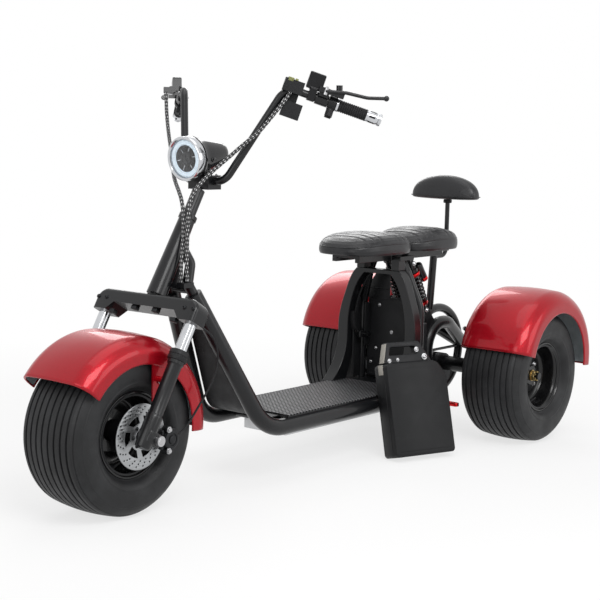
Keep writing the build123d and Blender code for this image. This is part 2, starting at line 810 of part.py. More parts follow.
# ---------------------------------------------------------------- headlight and clamp
lamp_front = at_rear(1325, 0, 950)
lamp_axis = Vector(-1, 0, 0.11).normalized()
ring_radius = 63
ring_depth = 30
lamp_length = 165
shell_start = lamp_front + lamp_axis * ring_depth
lamp_shell = cone(shell_start, lamp_front + lamp_axis * lamp_length, ring_radius - 6, 28)
save("headlight_shell", lamp_shell)
ring = rod(lamp_front, shell_start, ring_radius) - rod(
    lamp_front - lamp_axis * 5, lamp_front + lamp_axis * (ring_depth - 6), ring_radius - 10)
save("headlight_ring", ring)
save("headlight_lens", rod(lamp_front + lamp_axis * 6, lamp_front + lamp_axis * 10,
                           ring_radius - 10 - running_gap))

clamp_centre = at_rear(1236, 0, 889)
clamp = Plane(origin=clamp_centre - Vector(0, 0, 4)) * Box(54, 78, 40)
clamp = clamp + Plane(origin=clamp_centre + Vector(0, 0, 38)) * Box(30, 30, 60) - lamp_shell
clamp = clamp - rod(clamp_centre - Vector(0, 60, 0), clamp_centre + Vector(0, 60, 0), bar_radius)
clamp = clamp - rod(steer(0, 0, 400), steer(0, 0, stem_top_s), stem_radius)
save("bar_clamp", clamp)


# ---------------------------------------------------------------- controls on the handlebar

def bar_block(distance, forward, up, length, depth, height):
    """A block lined up with the bar: length along it, depth forward, height across."""
    plane = Plane(origin=on_bar(distance, forward, up), x_dir=bar_out, z_dir=bar_up)
    return plane * Box(length, depth, height)


bar_hole = rod(on_bar(-5), on_bar(340), bar_radius)
lever_radius = 5
lever_ball_radius = 8
lever_points = [on_bar(168, 36, 24), on_bar(112, 42, 38), on_bar(52, 48, 44), on_bar(2, 46, 60)]
lever = bent_rod(lever_points, [60, 60], lever_radius)
lever = lever + Pos(lever_points[-1]) * Sphere(lever_ball_radius)

mirror_hole_radius = 3.4
mirror_hole_depth = 16
mirror_boss_radius = 9
mirror_boss_height = 30
perch = rod(on_bar(150), on_bar(186), bar_radius + 6)
perch = perch + bar_block(150, 24, 26, 72, 28, 14) + bar_block(168, 18, 14, 28, 14, 14)
boss_base = on_bar(126, 20, 24)
mirror_top = boss_base + Vector(0, 0, mirror_boss_height)
perch = perch + rod(boss_base, mirror_top, mirror_boss_radius)
perch = perch - bar_hole - lever - rod(mirror_top - Vector(0, 0, mirror_hole_depth),
                                       mirror_top + Vector(0, 0, 5), mirror_hole_radius)
perch = perch.solids().sort_by(SortBy.VOLUME)[-1]
reservoir = bar_block(164, 15, 46, 42, 28, 26) + bar_block(181, 38, 22, 12, 36, 16)
save("brake_levers", *both_sides(lever))
right_perch = perch + reservoir - lever
save("lever_perches", perch, mirrored(right_perch))

thumb_start = grip_length + 8
inner_ring = rod(on_bar(grip_length), on_bar(thumb_start), grip_radius + 2)
thumb = rod(on_bar(thumb_start), on_bar(thumb_start + 22), bar_radius + 9)
thumb = thumb + rod(on_bar(thumb_start + 11, 2, -16), on_bar(thumb_start + 11, 8, -38), 11)
thumb = thumb + inner_ring - bar_hole

display = bar_block(199, 2, 42, 46, 16, 48) + bar_block(199, 0, 4, 22, 34, 38) - bar_hole
save("display", display)
box_distance = 255
controls = (
    bar_block(box_distance, 2, 8, 56, 44, 36) + bar_block(box_distance - 7, -8, -22, 30, 20, 30)
    + bar_block(240, -4, -56, 54, 36, 44) - bar_hole - handlebar
)
controls = controls.solids().sort_by(SortBy.VOLUME)[-1]
save("switch_boxes", controls, thumb, mirrored(thumb))

# ---------------------------------------------------------------- front brake and stays
caliper_x = wheelbase - 82
caliper_z = tyre_radius - 15
caliper_radius = 27
disc_gap = 2
caliper_inner_y = disc_y - 9
caliper_middle_y = disc_y + 28
caliper_outer_y = disc_y + 44
foot_inner_y = fork_leg_spread - fork_lower_radius - 1
caliper = slab(caliper_x - 31, caliper_x + 28, caliper_inner_y, caliper_middle_y,
               caliper_z - 30, caliper_z + 30)
caliper = caliper + rod(at_rear(caliper_x, caliper_middle_y - 6, caliper_z),
                        at_rear(caliper_x, caliper_outer_y, caliper_z), caliper_radius)
disc_slot = slab(caliper_x - 24, caliper_x + 60, disc_y - disc_gap,
                 disc_y + disc_thickness + disc_gap, caliper_z - 60, caliper_z + 60)
arm_wall = 10
caliper_arm = slab(caliper_x + 20, wheelbase, foot_inner_y - seat_gap - arm_wall,
                   foot_inner_y - seat_gap, tyre_radius - 16, tyre_radius + 16)
axle_room = rod(Vector(front_x, 100, tyre_radius), Vector(front_x, 160, tyre_radius), 14)
caliper = caliper - disc_slot + caliper_arm - axle_room
save("brake_caliper", caliper)

stay_wall = 4
stay_y = front_fender_half_width - fender_wall - seat_gap
stay_outline = Polyline(
    (wheelbase - 38, tyre_radius + 212), (wheelbase - 102, tyre_radius + 200),
    (wheelbase - 90, tyre_radius + 118), (wheelbase - 56, tyre_radius + 90),
    (wheelbase - 38, tyre_radius + 90), close=True,
)
stay_plane = Plane(origin=at_rear(0, stay_y, 0), x_dir=(1, 0, 0), z_dir=(0, -1, 0))
stay = extrude(stay_plane * make_face(stay_outline), stay_wall)
boss_centre = steer(-2, 0, 158)
boss_radius = 8
boss = rod(boss_centre + Vector(0, stay_y - stay_wall / 2, 0),
           boss_centre + Vector(0, fork_leg_spread, 0), boss_radius)
leg_room = rod(steer(0, fork_leg_spread, -60), steer(0, fork_leg_spread, 300), fork_lower_radius)
stay = stay + (boss - leg_room).solids().sort_by(Axis.Y)[0]
save("front_fender_stays", *both_sides(stay))

rear_stay_radius = 7
skirt_y = half_track + rear_fender_shift - rear_fender_half_width
rear_stay_y = skirt_y - rear_stay_radius
stay_reach = rear_fender_radius - fender_skirt + 24
rear_stay = None
for angle in (34, 90, 152):
    tip = Vector(stay_reach * cos(radians(angle)), 0, stay_reach * sin(radians(angle)))
    root = housing_centre + Vector(0, rear_stay_y, 0)
    end = Vector(rear_fender_centre.X, rear_stay_y, rear_fender_centre.Z) + tip
    leg = rod(root, end, rear_stay_radius)
    rear_stay = leg if rear_stay is None else rear_stay + leg
collar = rod(housing_centre + Vector(0, rear_stay_y - 10, 0),
             housing_centre + Vector(0, rear_stay_y + rear_stay_radius, 0), housing_radius + 8)
rear_stay = rear_stay + collar - rod(
    housing_centre, housing_centre + left_housing, housing_radius)
save("rear_fender_stays", *both_sides(rear_stay))

# ---------------------------------------------------------------- looms and brake hose
loom_radius = 5.5
hose_radius = 3


def cord(points, radius):
    """A cord's tube: each corner's arc takes 0.45 of its shorter run."""
    points = [Vector(point) for point in points]
    bends = []
    for before, here, after in zip(points, points[1:], points[2:]):
        first = here - before
        second = after - here
        turn = radians(first.get_angle(second))
        bends.append(0.45 * min(first.length, second.length) / tan(turn / 2))
    length = sum((b - a).length for a, b in zip(points, points[1:]))
    print("cord", "length", round(length), "radii", [round(bend) for bend in bends])
    return bent_rod(points, bends, radius)


loom_left_points = [
    on_bar(258, 17, -6), at_rear(1129, 207, 1125), at_rear(1151, 194, 1094),
    at_rear(1172, 177, 1060), at_rear(1192, 158, 1026), at_rear(1220, 132, 996),
    at_rear(1258, 101, 952), at_rear(1293, 74, 914), at_rear(1329, 55, 873),
    at_rear(1350, 50, 834), at_rear(1355, 51, 795), at_rear(1356, 50, 757),
    at_rear(1357, 50, 716),
]
loom_right_points = [
    on_bar(181, 48, 16), at_rear(1100, 289, 1107), at_rear(1113, 273, 1070),
    at_rear(1131, 250, 1034), at_rear(1154, 221, 1001), at_rear(1184, 185, 970),
    at_rear(1222, 142, 942), at_rear(1266, 96, 916), at_rear(1307, 50, 890),
    at_rear(1336, 6, 864), at_rear(1351, -22, 836), at_rear(1356, -34, 797),
    at_rear(1358, -36, 757),
    at_rear(1360, -36, 716),
]
tail_left_points = [
    at_rear(1356, 50, 757), at_rear(1357, 50, 707), at_rear(1361, 52, 657),
    at_rear(1359, 54, 611),
]
tail_right_points = [
    at_rear(1358, 36, 757), at_rear(1361, 37, 707), at_rear(1370, 40, 657),
    at_rear(1371, 42, 611),
]
hose_points = [
    steer(-30, 150, 338), at_rear(1394, 152, 496), at_rear(1362, 156, 472),
    at_rear(1345, 160, 434), at_rear(1348, 162, 392), at_rear(1366, 162, 352),
    at_rear(1392, 161, 317), at_rear(1420, 159, 284), at_rear(1446, 156, 252),
    at_rear(1466, 152, 228), at_rear(1490, 149, 216),
]
loom_split_s = 575
split_gap = 0.15
split_plane = Plane(origin=steer(0, 0, loom_split_s + split_gap), z_dir=steer_up)
above_split = split_plane * Box(2000, 2000, 2000, align=(Align.CENTER, Align.CENTER, Align.MIN))
split_plane = Plane(origin=steer(0, 0, loom_split_s - split_gap), z_dir=-steer_up)
below_split = split_plane * Box(2000, 2000, 2000, align=(Align.CENTER, Align.CENTER, Align.MIN))
loom_right_points = [left_right(point) for point in loom_right_points]
loom_left = cord(loom_left_points, loom_radius) & above_split
loom_right = cord(loom_right_points, loom_radius) & above_split
save("wiring_loom_left", loom_left - controls)
save("wiring_loom_right", loom_right - mirrored(right_perch))
save("loom_tail_left", (cord(tail_left_points, loom_radius) & below_split) - nodes["head_tube"])
save("loom_tail_right", (cord(tail_right_points, loom_radius) & below_split) - nodes["head_tube"])
save("front_brake_hose", cord(hose_points, hose_radius) - caliper - nodes["fork_crown"])

for name, solid in nodes.items():
    export_step(solid, f"parts/{name}.step")
    print(name, round(solid.volume))
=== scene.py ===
import json
from math import cos, exp, pi, radians, sin, tau
import bmesh
import bpy
from mathutils import Matrix, Vector


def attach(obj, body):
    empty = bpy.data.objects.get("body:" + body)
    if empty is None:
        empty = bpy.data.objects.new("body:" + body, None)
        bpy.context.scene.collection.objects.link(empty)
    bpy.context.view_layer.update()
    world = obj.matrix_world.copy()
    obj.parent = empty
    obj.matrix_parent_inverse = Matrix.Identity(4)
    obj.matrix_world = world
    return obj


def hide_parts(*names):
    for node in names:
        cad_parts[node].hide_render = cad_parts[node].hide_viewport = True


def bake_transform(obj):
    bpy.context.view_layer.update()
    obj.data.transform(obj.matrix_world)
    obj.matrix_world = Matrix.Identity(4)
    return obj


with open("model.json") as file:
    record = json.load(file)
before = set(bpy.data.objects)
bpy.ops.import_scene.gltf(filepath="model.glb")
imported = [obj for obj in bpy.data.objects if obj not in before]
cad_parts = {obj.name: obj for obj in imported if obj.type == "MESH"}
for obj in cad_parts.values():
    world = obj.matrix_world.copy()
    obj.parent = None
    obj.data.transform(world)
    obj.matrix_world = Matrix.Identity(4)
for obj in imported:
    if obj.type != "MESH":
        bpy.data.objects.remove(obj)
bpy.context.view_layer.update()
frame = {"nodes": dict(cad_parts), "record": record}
nodes = frame["nodes"]
joints = {joint["name"]: joint for joint in frame["record"]["behaviour"]["joints"]}
scene = bpy.context.scene
X, Y, Z = Vector((1, 0, 0)), Vector((0, 1, 0)), Vector((0, 0, 1))
REAR = Vector(joints["rear_wheel_left_spin"]["pos_m"])
FRONT = Vector(joints["front_wheel_spin"]["pos_m"])
STEER_UP = Vector(joints["steer"]["axis"]).normalized()
STEER_FORWARD = Vector((STEER_UP.z, 0, -STEER_UP.x))
STEER_SETBACK = 24
TYRE_RADIUS = REAR.z * 1000
WHEELBASE = (FRONT.x - REAR.x) * 1000


# ---------------- places (millimetres in, metres out)
def at(x, y, z):
    """A point from millimetres, x counted forward from the rear axle."""
    return Vector((REAR.x + x / 1000, y / 1000, z / 1000))


def steer(t, y, s):
    """A point t forward of the steering axis, y to the left and s up along it."""
    return FRONT + (STEER_FORWARD * (STEER_SETBACK + t) + STEER_UP * s) / 1000 + Vector((0, y / 1000, 0))


def flip(point):
    """The same point on the other side."""
    return Vector((point[0], -point[1], point[2]))


def round_y(centre, across, radius, angle):
    """A point at a radius and angle round an axis along Y through centre."""
    return centre + Vector((radius * cos(angle), across, radius * sin(angle))) / 1000


BAR_END = at(944, 388, 1072)
BAR_BEND = at(1120, 196, 1156)
BAR_OUT = (BAR_END - BAR_BEND).normalized()
BAR_FORWARD = Vector((BAR_OUT.y, -BAR_OUT.x, 0)).normalized()
BAR_UP = BAR_FORWARD.cross(BAR_OUT)


def on_bar(distance, forward=0, up=0):
    """A point beside the left grip's straight, counted inboard from the bar's end."""
    return BAR_END + (BAR_FORWARD * forward + BAR_UP * up - BAR_OUT * distance) / 1000


# ---------------- camera and light
def add(name, data):
    """Puts a new object with this data into the scene."""
    made = bpy.data.objects.new(name, data)
    scene.collection.objects.link(made)
    return made


def turned_to(x_dir, y_dir, z_dir):
    """The rotation whose columns are three directions."""
    return Matrix((x_dir, y_dir, z_dir)).transposed()


CAMERA_AZIMUTH = radians(38.74)
CAMERA_ELEVATION = radians(7.05)
CAMERA_DISTANCE = 4.28335
CAMERA_ROLL = radians(1.37)
CAMERA_TARGET = Vector((REAR.x + 0.79089, 0, 0.51128))
camera = add("camera", bpy.data.cameras.new("camera"))
scene.camera = camera
camera.data.lens = 82.3
camera.data.clip_end = 60
towards = Vector((cos(CAMERA_ELEVATION) * cos(CAMERA_AZIMUTH),
                  cos(CAMERA_ELEVATION) * sin(CAMERA_AZIMUTH), sin(CAMERA_ELEVATION)))
level_right = Z.cross(towards).normalized()
level_up = towards.cross(level_right)
right = level_right * cos(CAMERA_ROLL) + level_up * sin(CAMERA_ROLL)
camera.matrix_world = Matrix.Translation(CAMERA_TARGET + towards * CAMERA_DISTANCE) @ turned_to(
    right, towards.cross(right), towards).to_4x4()
scene.view_settings.view_transform = "Standard"

WHITE = (1, 1, 1, 1)
AMBIENT_STRENGTH = 0.36
NOISE_LOW, NOISE_HIGH = 0.3, 0.7


class Nodes:
    """A node tree with helpers that make nodes and join them."""

    def __init__(self, tree):
        self.tree = tree

    def feed(self, socket, value):
        if isinstance(value, bpy.types.NodeSocket):
            self.tree.links.new(value, socket)
        else:
            socket.default_value = value

    def node(self, kind, **inputs):
        made = self.tree.nodes.new("ShaderNode" + kind)
        for key, value in inputs.items():
            self.feed(made.inputs[key.replace("_", " ")], value)
        return made

    def math(self, operation, first, second=0.0):
        made = self.node("Math")
        made.operation = operation
        self.feed(made.inputs[0], first)
        self.feed(made.inputs[1], second)
        return made.outputs[0]

    def seen_rays(self):
        """One where a ray comes from the camera, a reflection or glass, else nought."""
        path = self.node("LightPath").outputs
        total = self.math("MAXIMUM", path["Is Camera Ray"], path["Is Glossy Ray"])
        return self.math("MAXIMUM", total, path["Is Transmission Ray"])

    def mix_surfaces(self, share, first, second):
        """The first surface, replaced by the second where share is one."""
        made = self.node("MixShader", Fac=share)
        self.feed(made.inputs[1], first.outputs[0])
        self.feed(made.inputs[2], second.outputs[0])
        return made.outputs[0]


scene.world = bpy.data.worlds.new("studio")
scene.world.use_nodes = True
scene.world.node_tree.nodes.clear()
sky = Nodes(scene.world.node_tree)
ambient = sky.node("Background", Color=WHITE, Strength=AMBIENT_STRENGTH)
backdrop = sky.node("Background", Color=WHITE, Strength=1.0)
sky.node("OutputWorld", Surface=sky.mix_surfaces(sky.seen_rays(), ambient, backdrop))


def area_light(name, place, aim, width, height, power):
    """A soft rectangular studio lamp, in metres and watts."""
    lamp = add(name, bpy.data.lights.new(name, "AREA"))
    lamp.data.shape = "RECTANGLE"
    lamp.data.size = width
    lamp.data.size_y = height
    lamp.data.energy = power
    lamp.location = place
    lamp.rotation_euler = (Vector(aim) - Vector(place)).to_track_quat("-Z", "Y").to_euler()


area_light("key", (1.6, 2.6, 3.2), (0.1, 0, 0.4), 2.4, 1.6, 78)
area_light("front_fill", (4.2, 0.6, 1.8), (0.2, 0, 0.5), 2.2, 2.2, 30)
area_light("left_fill", (-1.4, 4.2, 1.7), (-0.2, 0, 0.5), 2.6, 2.0, 36)
area_light("top", (0, 0, 4.4), (0, 0, 0), 3.6, 2.6, 34)
area_light("back_rim", (-2.8, -2.8, 2.6), (0, 0, 0.5), 2.4, 1.6, 44)

FLOOR_HALF = 14  # metres
FLOOR_DROP = 0.0005  # metres
floor_corners = [(x * FLOOR_HALF, y * FLOOR_HALF, 0) for x, y in ((-1, -1), (1, -1), (1, 1), (-1, 1))]
floor = add("floor", bpy.data.meshes.new("floor"))
floor.data.from_pydata(floor_corners, [], [(0, 1, 2, 3)])
floor.location.z = -FLOOR_DROP


# ---------------- materials
class Shader(Nodes):
    """A node material with helpers for procedural detail in object coordinates."""

    def __init__(self, name):
        self.material = bpy.data.materials.new(name)
        self.material.use_nodes = True
        super().__init__(self.material.node_tree)
        self.surface = self.tree.nodes["Principled BSDF"]
        self.coordinates = self.node("TexCoord").outputs["Object"]

    def set(self, **inputs):
        for key, value in inputs.items():
            self.feed(self.surface.inputs[key.replace("_", " ")], value)

    def noise(self, scale, detail=3, stretch=None, roughness=0.5):
        vector = self.coordinates
        if stretch:
            vector = self.node("Mapping", Vector=vector, Scale=stretch).outputs[0]
        made = self.node("TexNoise", Vector=vector, Scale=scale, Detail=detail,
                         Roughness=roughness)
        return made.outputs["Fac"]

    def cells(self, scale):
        return self.node("TexVoronoi", Vector=self.coordinates, Scale=scale).outputs["Distance"]

    def spread(self, value, low, high, to_low=0.0, to_high=1.0):
        made = self.node("MapRange", Value=value, From_Min=low, From_Max=high, To_Min=to_low,
                         To_Max=to_high)
        return made.outputs["Result"]

    def drift(self, to_low, to_high, scale, detail=3):
        """Noise, its usual range spread from one value to another."""
        return self.spread(self.noise(scale, detail), NOISE_LOW, NOISE_HIGH, to_low, to_high)

    def blend(self, factor, first, second):
        made = self.node("Mix")
        made.data_type = "RGBA"
        self.feed(made.inputs["Factor"], factor)
        self.feed(made.inputs[6], (*first, 1) if isinstance(first, tuple) else first)
        self.feed(made.inputs[7], (*second, 1) if isinstance(second, tuple) else second)
        return made.outputs[2]

    def axes(self, vector):
        return self.node("SeparateXYZ", Vector=vector).outputs

    def bump(self, height, distance, strength):
        """Roughens the surface by a height in metres, which is the last step of most materials."""
        made = self.node("Bump", Height=height, Strength=strength, Distance=distance)
        self.set(Normal=made.outputs[0])
        return self.material


def scaled(colour, factor, lift=0.0):
    """A colour made lighter or darker."""
    return tuple(c * factor + lift for c in colour)


def paint(name, base, metallic, rough, flake, coat, shine):
    """Clear-coated paint: faint metal flake under a coat with a slight orange peel."""
    shader = Shader(name)
    tone = shader.blend(shader.drift(0.0, 1.0, 900, 2), scaled(base, 1 - flake), scaled(base, 1 + flake))
    shader.set(Base_Color=tone, Metallic=metallic, Roughness=shader.drift(rough - 0.04, rough + 0.06, 14, 4),
               Specular_IOR_Level=shine, Coat_Weight=coat, Coat_Roughness=0.05)
    return shader.bump(shader.noise(160, 2), 0.00012, 0.5)


red_paint = paint("red_paint", (0.36, 0.0015, 0.009), 0.50, 0.34, 0.22, 0.42, 0.20)
black_paint = paint("black_paint", (0.0065, 0.0068, 0.0078), 0.0, 0.30, 0.05, 0.22, 0.25)
rim_black = paint("rim_black", (0.006, 0.006, 0.0065), 0.0, 0.22, 0.05, 0.25, 0.25)


def plain_metal(name, base, rough, stretch=None, grain=0.00004):
    """Bare or plated metal with fine brushed or smudged roughness."""
    shader = Shader(name)
    smudge = shader.noise(60, 5, stretch)
    shader.set(Base_Color=shader.blend(smudge, scaled(base, 0.88), base), Metallic=1.0,
               Roughness=shader.spread(smudge, NOISE_LOW, NOISE_HIGH, rough, rough + 0.08))
    return shader.bump(shader.noise(500, 3, stretch), grain, 0.4)


chrome = plain_metal("chrome", (0.60, 0.61, 0.63), 0.10)
steel = plain_metal("steel", (0.50, 0.50, 0.51), 0.26)
disc_steel = plain_metal("disc_steel", (0.40, 0.41, 0.42), 0.36, (1, 1, 0.15))
aluminium = plain_metal("aluminium", (0.58, 0.59, 0.60), 0.38)
cast_black = plain_metal("cast_black", (0.035, 0.036, 0.038), 0.42, None, 0.0003)
red_anodised = plain_metal("red_anodised", (0.62, 0.018, 0.02), 0.28)
brass = plain_metal("brass", (0.62, 0.47, 0.22), 0.30)


def soft(name, base, rough, grain_scale, grain, mottling=0.35, shine=0.22):
    """Rubber, moulded plastic or the like: grain in the surface and slight mottling."""
    shader = Shader(name)
    dusty = shader.spread(shader.noise(9, 6, None, 0.65), 0.42, 0.72)
    shader.set(Base_Color=shader.blend(dusty, base, scaled(base, 1 + mottling, 0.002)),
               Roughness=shader.drift(rough - 0.07, rough + 0.07, 24, 4), Specular_IOR_Level=shine)
    return shader.bump(shader.cells(grain_scale), grain, 0.6)


rubber = soft("rubber", (0.010, 0.010, 0.011), 0.62, 700, 0.0002)
tyre_tread = soft("tyre_tread", (0.0095, 0.0098, 0.0106), 0.50, 520, 0.00025, 1.2, 0.3)
black_plastic = soft("black_plastic", (0.008, 0.0083, 0.0095), 0.40, 900, 0.00012)
satin_plastic = soft("satin_plastic", (0.0095, 0.0098, 0.0108), 0.48, 700, 0.00022)
gloss_plastic = soft("gloss_plastic", (0.008, 0.008, 0.009), 0.12, 300, 0.00002)
cream_plastic = soft("cream_plastic", (0.40, 0.38, 0.34), 0.5, 800, 0.0001, 0.1)
grey_liner = soft("grey_liner", (0.30, 0.33, 0.345), 0.5, 300, 0.0004, 0.5)
yellow_plug = soft("yellow_plug", (0.20, 0.21, 0.08), 0.4, 700, 0.0001, 0.1)
red_button = soft("red_button", (0.45, 0.02, 0.015), 0.35, 700, 0.0001, 0.1)


def leather_material():
    """Black seat leather: fine pebble grain, soft creases and a light sheen."""
    shader = Shader("leather")
    lighter_share = shader.spread(shader.noise(7, 5, None, 0.6), 0.4, 0.75)
    shader.set(Base_Color=shader.blend(lighter_share, (0.0080, 0.0081, 0.0096), (0.015, 0.015, 0.017)),
               Roughness=shader.drift(0.27, 0.40, 40, 4), Specular_IOR_Level=0.42)
    crease = shader.math("MULTIPLY", shader.noise(26, 5), 1.2)
    return shader.bump(shader.math("ADD", shader.cells(420), crease), 0.00035, 0.7)


def crossed_waves(shader, along, across, turns):
    """Two sets of waves that run crosswise to each other, on a surface's two axes."""
    return [shader.math("SINE", shader.math("MULTIPLY", shader.math(way, along, across), turns))
            for way in ("ADD", "SUBTRACT")]


def deck_material():
    """Rubber deck mat: staggered raised lozenges over a grained ground, their tops painted light grey as a
    highlight.
    """
    shader = Shader("deck_rubber")
    pitch = 0.029
    along, across, _ = shader.axes(shader.coordinates)
    lozenge = shader.math("MULTIPLY", *crossed_waves(shader, along, across, tau / pitch))
    raised = shader.spread(lozenge, 0.12, 0.42)
    # Painted highlight: the raised lozenges are coloured light grey, varied a little by noise.
    lighter_share = shader.math("MULTIPLY", raised, shader.spread(shader.noise(12, 4), 0.35, 0.7, 0.65, 1.0))
    shader.set(Base_Color=shader.blend(lighter_share, (0.010, 0.010, 0.011), (0.19, 0.193, 0.20)),
               Roughness=shader.spread(raised, 0, 1, 0.66, 0.40), Specular_IOR_Level=0.25)
    height = shader.math("ADD", raised, shader.math("MULTIPLY", shader.cells(600), 0.12))
    return shader.bump(height, 0.0016, 0.9)


def splash_material():
    """Textured paint on the plate behind the front wheel, with pale grit caught in it."""
    shader = Shader("splash_paint")
    grit = shader.spread(shader.cells(150), 0.0, 0.17, 1.0, 0.0)
    speck = shader.math("MULTIPLY", grit, shader.spread(shader.noise(7, 4), 0.48, 0.66))
    shader.set(Base_Color=shader.blend(speck, (0.0115, 0.0118, 0.013), (0.40, 0.40, 0.40)),
               Roughness=shader.drift(0.42, 0.60, 30, 4), Specular_IOR_Level=0.25)
    return shader.bump(shader.cells(260), 0.0004, 0.6)


def braid_material():
    """The looms' woven sleeve: crossed strands with a row of pale tracer stitches."""
    shader = Shader("loom_braid")
    along, round_it, _ = shader.axes(shader.node("TexCoord").outputs["UV"])
    runs, turns = shader.math("MULTIPLY", along, 13), shader.math("MULTIPLY", round_it, 6.0)
    first, second = crossed_waves(shader, runs, turns, tau)
    strand = shader.spread(shader.math("MULTIPLY", first, second), -0.6, 0.6)
    woven = shader.blend(strand, (0.006, 0.006, 0.007), (0.030, 0.030, 0.032))
    stitch = shader.math("MULTIPLY", shader.spread(first, 0.40, 0.70), shader.spread(second, 0.30, 0.60))
    shader.set(Base_Color=shader.blend(stitch, woven, (0.85, 0.85, 0.85)),
               Roughness=shader.drift(0.5, 0.66, 60))
    return shader.bump(strand, 0.0006, 0.8)


def lens_material():
    """Clear lens of the headlight."""
    shader = Shader("lens_glass")
    shader.set(Base_Color=(0.97, 0.985, 1.0, 1), Roughness=0.03, Transmission_Weight=1.0, IOR=1.45)
    return shader.bump(shader.noise(30, 2), 0.00005, 0.3)


def halo_material():
    """The pale ring light behind the glass."""
    shader = Shader("halo")
    band = shader.blend(shader.drift(0.88, 1.0, 60, 2), (0.62, 0.72, 0.80), (0.78, 0.88, 0.95))
    shader.set(Base_Color=band, Roughness=0.35, Emission_Color=(0.72, 0.86, 0.97, 1), Emission_Strength=0.25)
    return shader.material


def screen_material():
    """Dark instrument glass."""
    shader = Shader("screen")
    shade = shader.blend(shader.drift(0.0, 1.0, 18), (0.006, 0.008, 0.010), (0.012, 0.016, 0.020))
    shader.set(Base_Color=shade, Roughness=0.08, Coat_Weight=0.6, Coat_Roughness=0.05)
    return shader.material


def battery_material():
    """Pressed sheet case of the battery: satin black with a fine even texture and scuffs."""
    shader = Shader("battery_skin")
    scuff = shader.spread(shader.noise(5, 8, (1, 1, 3), 0.7), 0.56, 0.74)
    shader.set(Base_Color=shader.blend(scuff, (0.0085, 0.0088, 0.0096), (0.017, 0.0175, 0.019)),
               Roughness=shader.drift(0.38, 0.50, 16, 5), Specular_IOR_Level=0.2)
    return shader.bump(shader.cells(420), 0.00018, 0.6)


def floor_material():
    """White studio floor that keeps a soft shadow and fades to plain white away from the scooter."""
    shader = Shader("floor")
    tone = shader.blend(shader.drift(0.0, 1.0, 0.7, 2), (0.93, 0.93, 0.93), (0.95, 0.95, 0.95))
    shader.set(Base_Color=tone, Roughness=0.9, Specular_IOR_Level=0.1)
    glow = shader.node("Emission", Color=WHITE, Strength=1.0)
    away = shader.node("VectorMath")
    away.operation = "LENGTH"
    shader.feed(away.inputs[0], shader.coordinates)
    fade = shader.spread(away.outputs["Value"], 1.1, 2.6, 0.72, 1.0)
    share = shader.math("MULTIPLY", shader.seen_rays(), fade)
    shader.feed(shader.tree.nodes["Material Output"].inputs["Surface"],
                shader.mix_surfaces(share, shader.surface, glow))
    return shader.material


leather = leather_material()
deck_rubber = deck_material()
splash_paint = splash_material()
loom_braid = braid_material()
lens_glass, halo = lens_material(), halo_material()
screen = screen_material()
battery_skin = battery_material()
floor.data.materials.append(floor_material())


# ---------------- shapes: lists of points and faces
def frame_for(axis):
    """Two unit vectors across an axis."""
    axis = Vector(axis).normalized()
    side = axis.cross(Z if abs(axis.dot(Z)) < 0.95 else X).normalized()
    return side, axis.cross(side)


def heading(path, i):
    """The way a path runs at its point i."""
    return (path[min(i + 1, len(path) - 1)] - path[max(i - 1, 0)]).normalized()


def sheet_faces(rows, width):
    """Faces between rows of points that stay open."""
    return [(a, a + width, a + width + 1, a + 1) for row in range(rows - 1)
            for a in range(row * width, (row + 1) * width - 1)]


def ring_faces(rings, around):
    """Faces between rings of points that close on themselves."""
    faces = []
    for row in range(rings - 1):
        for k in range(around):
            a, b = row * around + k, row * around + (k + 1) % around
            faces.append((a, b, b + around, a + around))
    return faces


def end_faces(count, around):
    """Faces that close the first and the last ring of count points."""
    return [tuple(range(around))[::-1], tuple(range(count - around, count))]


def lathe(profile, centre, axis, steps=48):
    """Turns (along, radius) points in millimetres about an axis through centre."""
    side, up = frame_for(axis)
    axis = Vector(axis).normalized()
    points = []
    for k in range(steps):
        angle = tau * k / steps
        spoke = side * cos(angle) + up * sin(angle)
        points += [centre + axis * (a / 1000) + spoke * (r / 1000) for a, r in profile]
    return points, [tuple(i % len(points) for i in face) for face in sheet_faces(steps + 1, len(profile))]


def tube(path, radius, steps=12, caps=True):
    """A round tube of one radius in millimetres along points."""
    path = [Vector(p) for p in path]
    side, up = frame_for(heading(path, 0))
    points = []
    for i, point in enumerate(path):
        ahead = heading(path, i)
        side = (side - ahead * side.dot(ahead)).normalized()
        up = ahead.cross(side)
        points += [point + (side * cos(tau * k / steps) + up * sin(tau * k / steps)) * (radius / 1000)
                   for k in range(steps)]
    return points, ring_faces(len(path), steps) + (end_faces(len(points), steps) if caps else [])


def smooth_path(points, per_run=10):
    """Catmull-Rom points through the given ones."""
    points = [Vector(p) for p in points]
    ends = [points[0] * 2 - points[1]] + points + [points[-1] * 2 - points[-2]]
    found = []
    for a, b, c, d in zip(ends, ends[1:], ends[2:], ends[3:]):
        for k in range(per_run):
            t = k / per_run
            found.append(0.5 * (2 * b + (c - a) * t + (2 * a - 5 * b + 4 * c - d) * t ** 2
                                + (3 * b - a - 3 * c + d) * t ** 3))
    return found + [points[-1]]


def strap(path, width, thickness, across):
    """A flat webbing strap along points."""
    path = smooth_path(path)
    points = []
    for i, point in enumerate(path):
        ahead = heading(path, i)
        side = (Vector(across) - ahead * ahead.dot(Vector(across))).normalized()
        up = ahead.cross(side)
        for a, b in ((-1, -1), (1, -1), (1, 1), (-1, 1)):
            points.append(point + side * (a * width / 2000) + up * (b * thickness / 2000))
    return points, ring_faces(len(path), 4) + end_faces(len(points), 4)


def lined_up(x_dir, y_dir):
    """The rotation that lines X and Y up with two directions."""
    x_dir, y_dir = Vector(x_dir).normalized(), Vector(y_dir).normalized()
    return turned_to(x_dir, y_dir, x_dir.cross(y_dir))


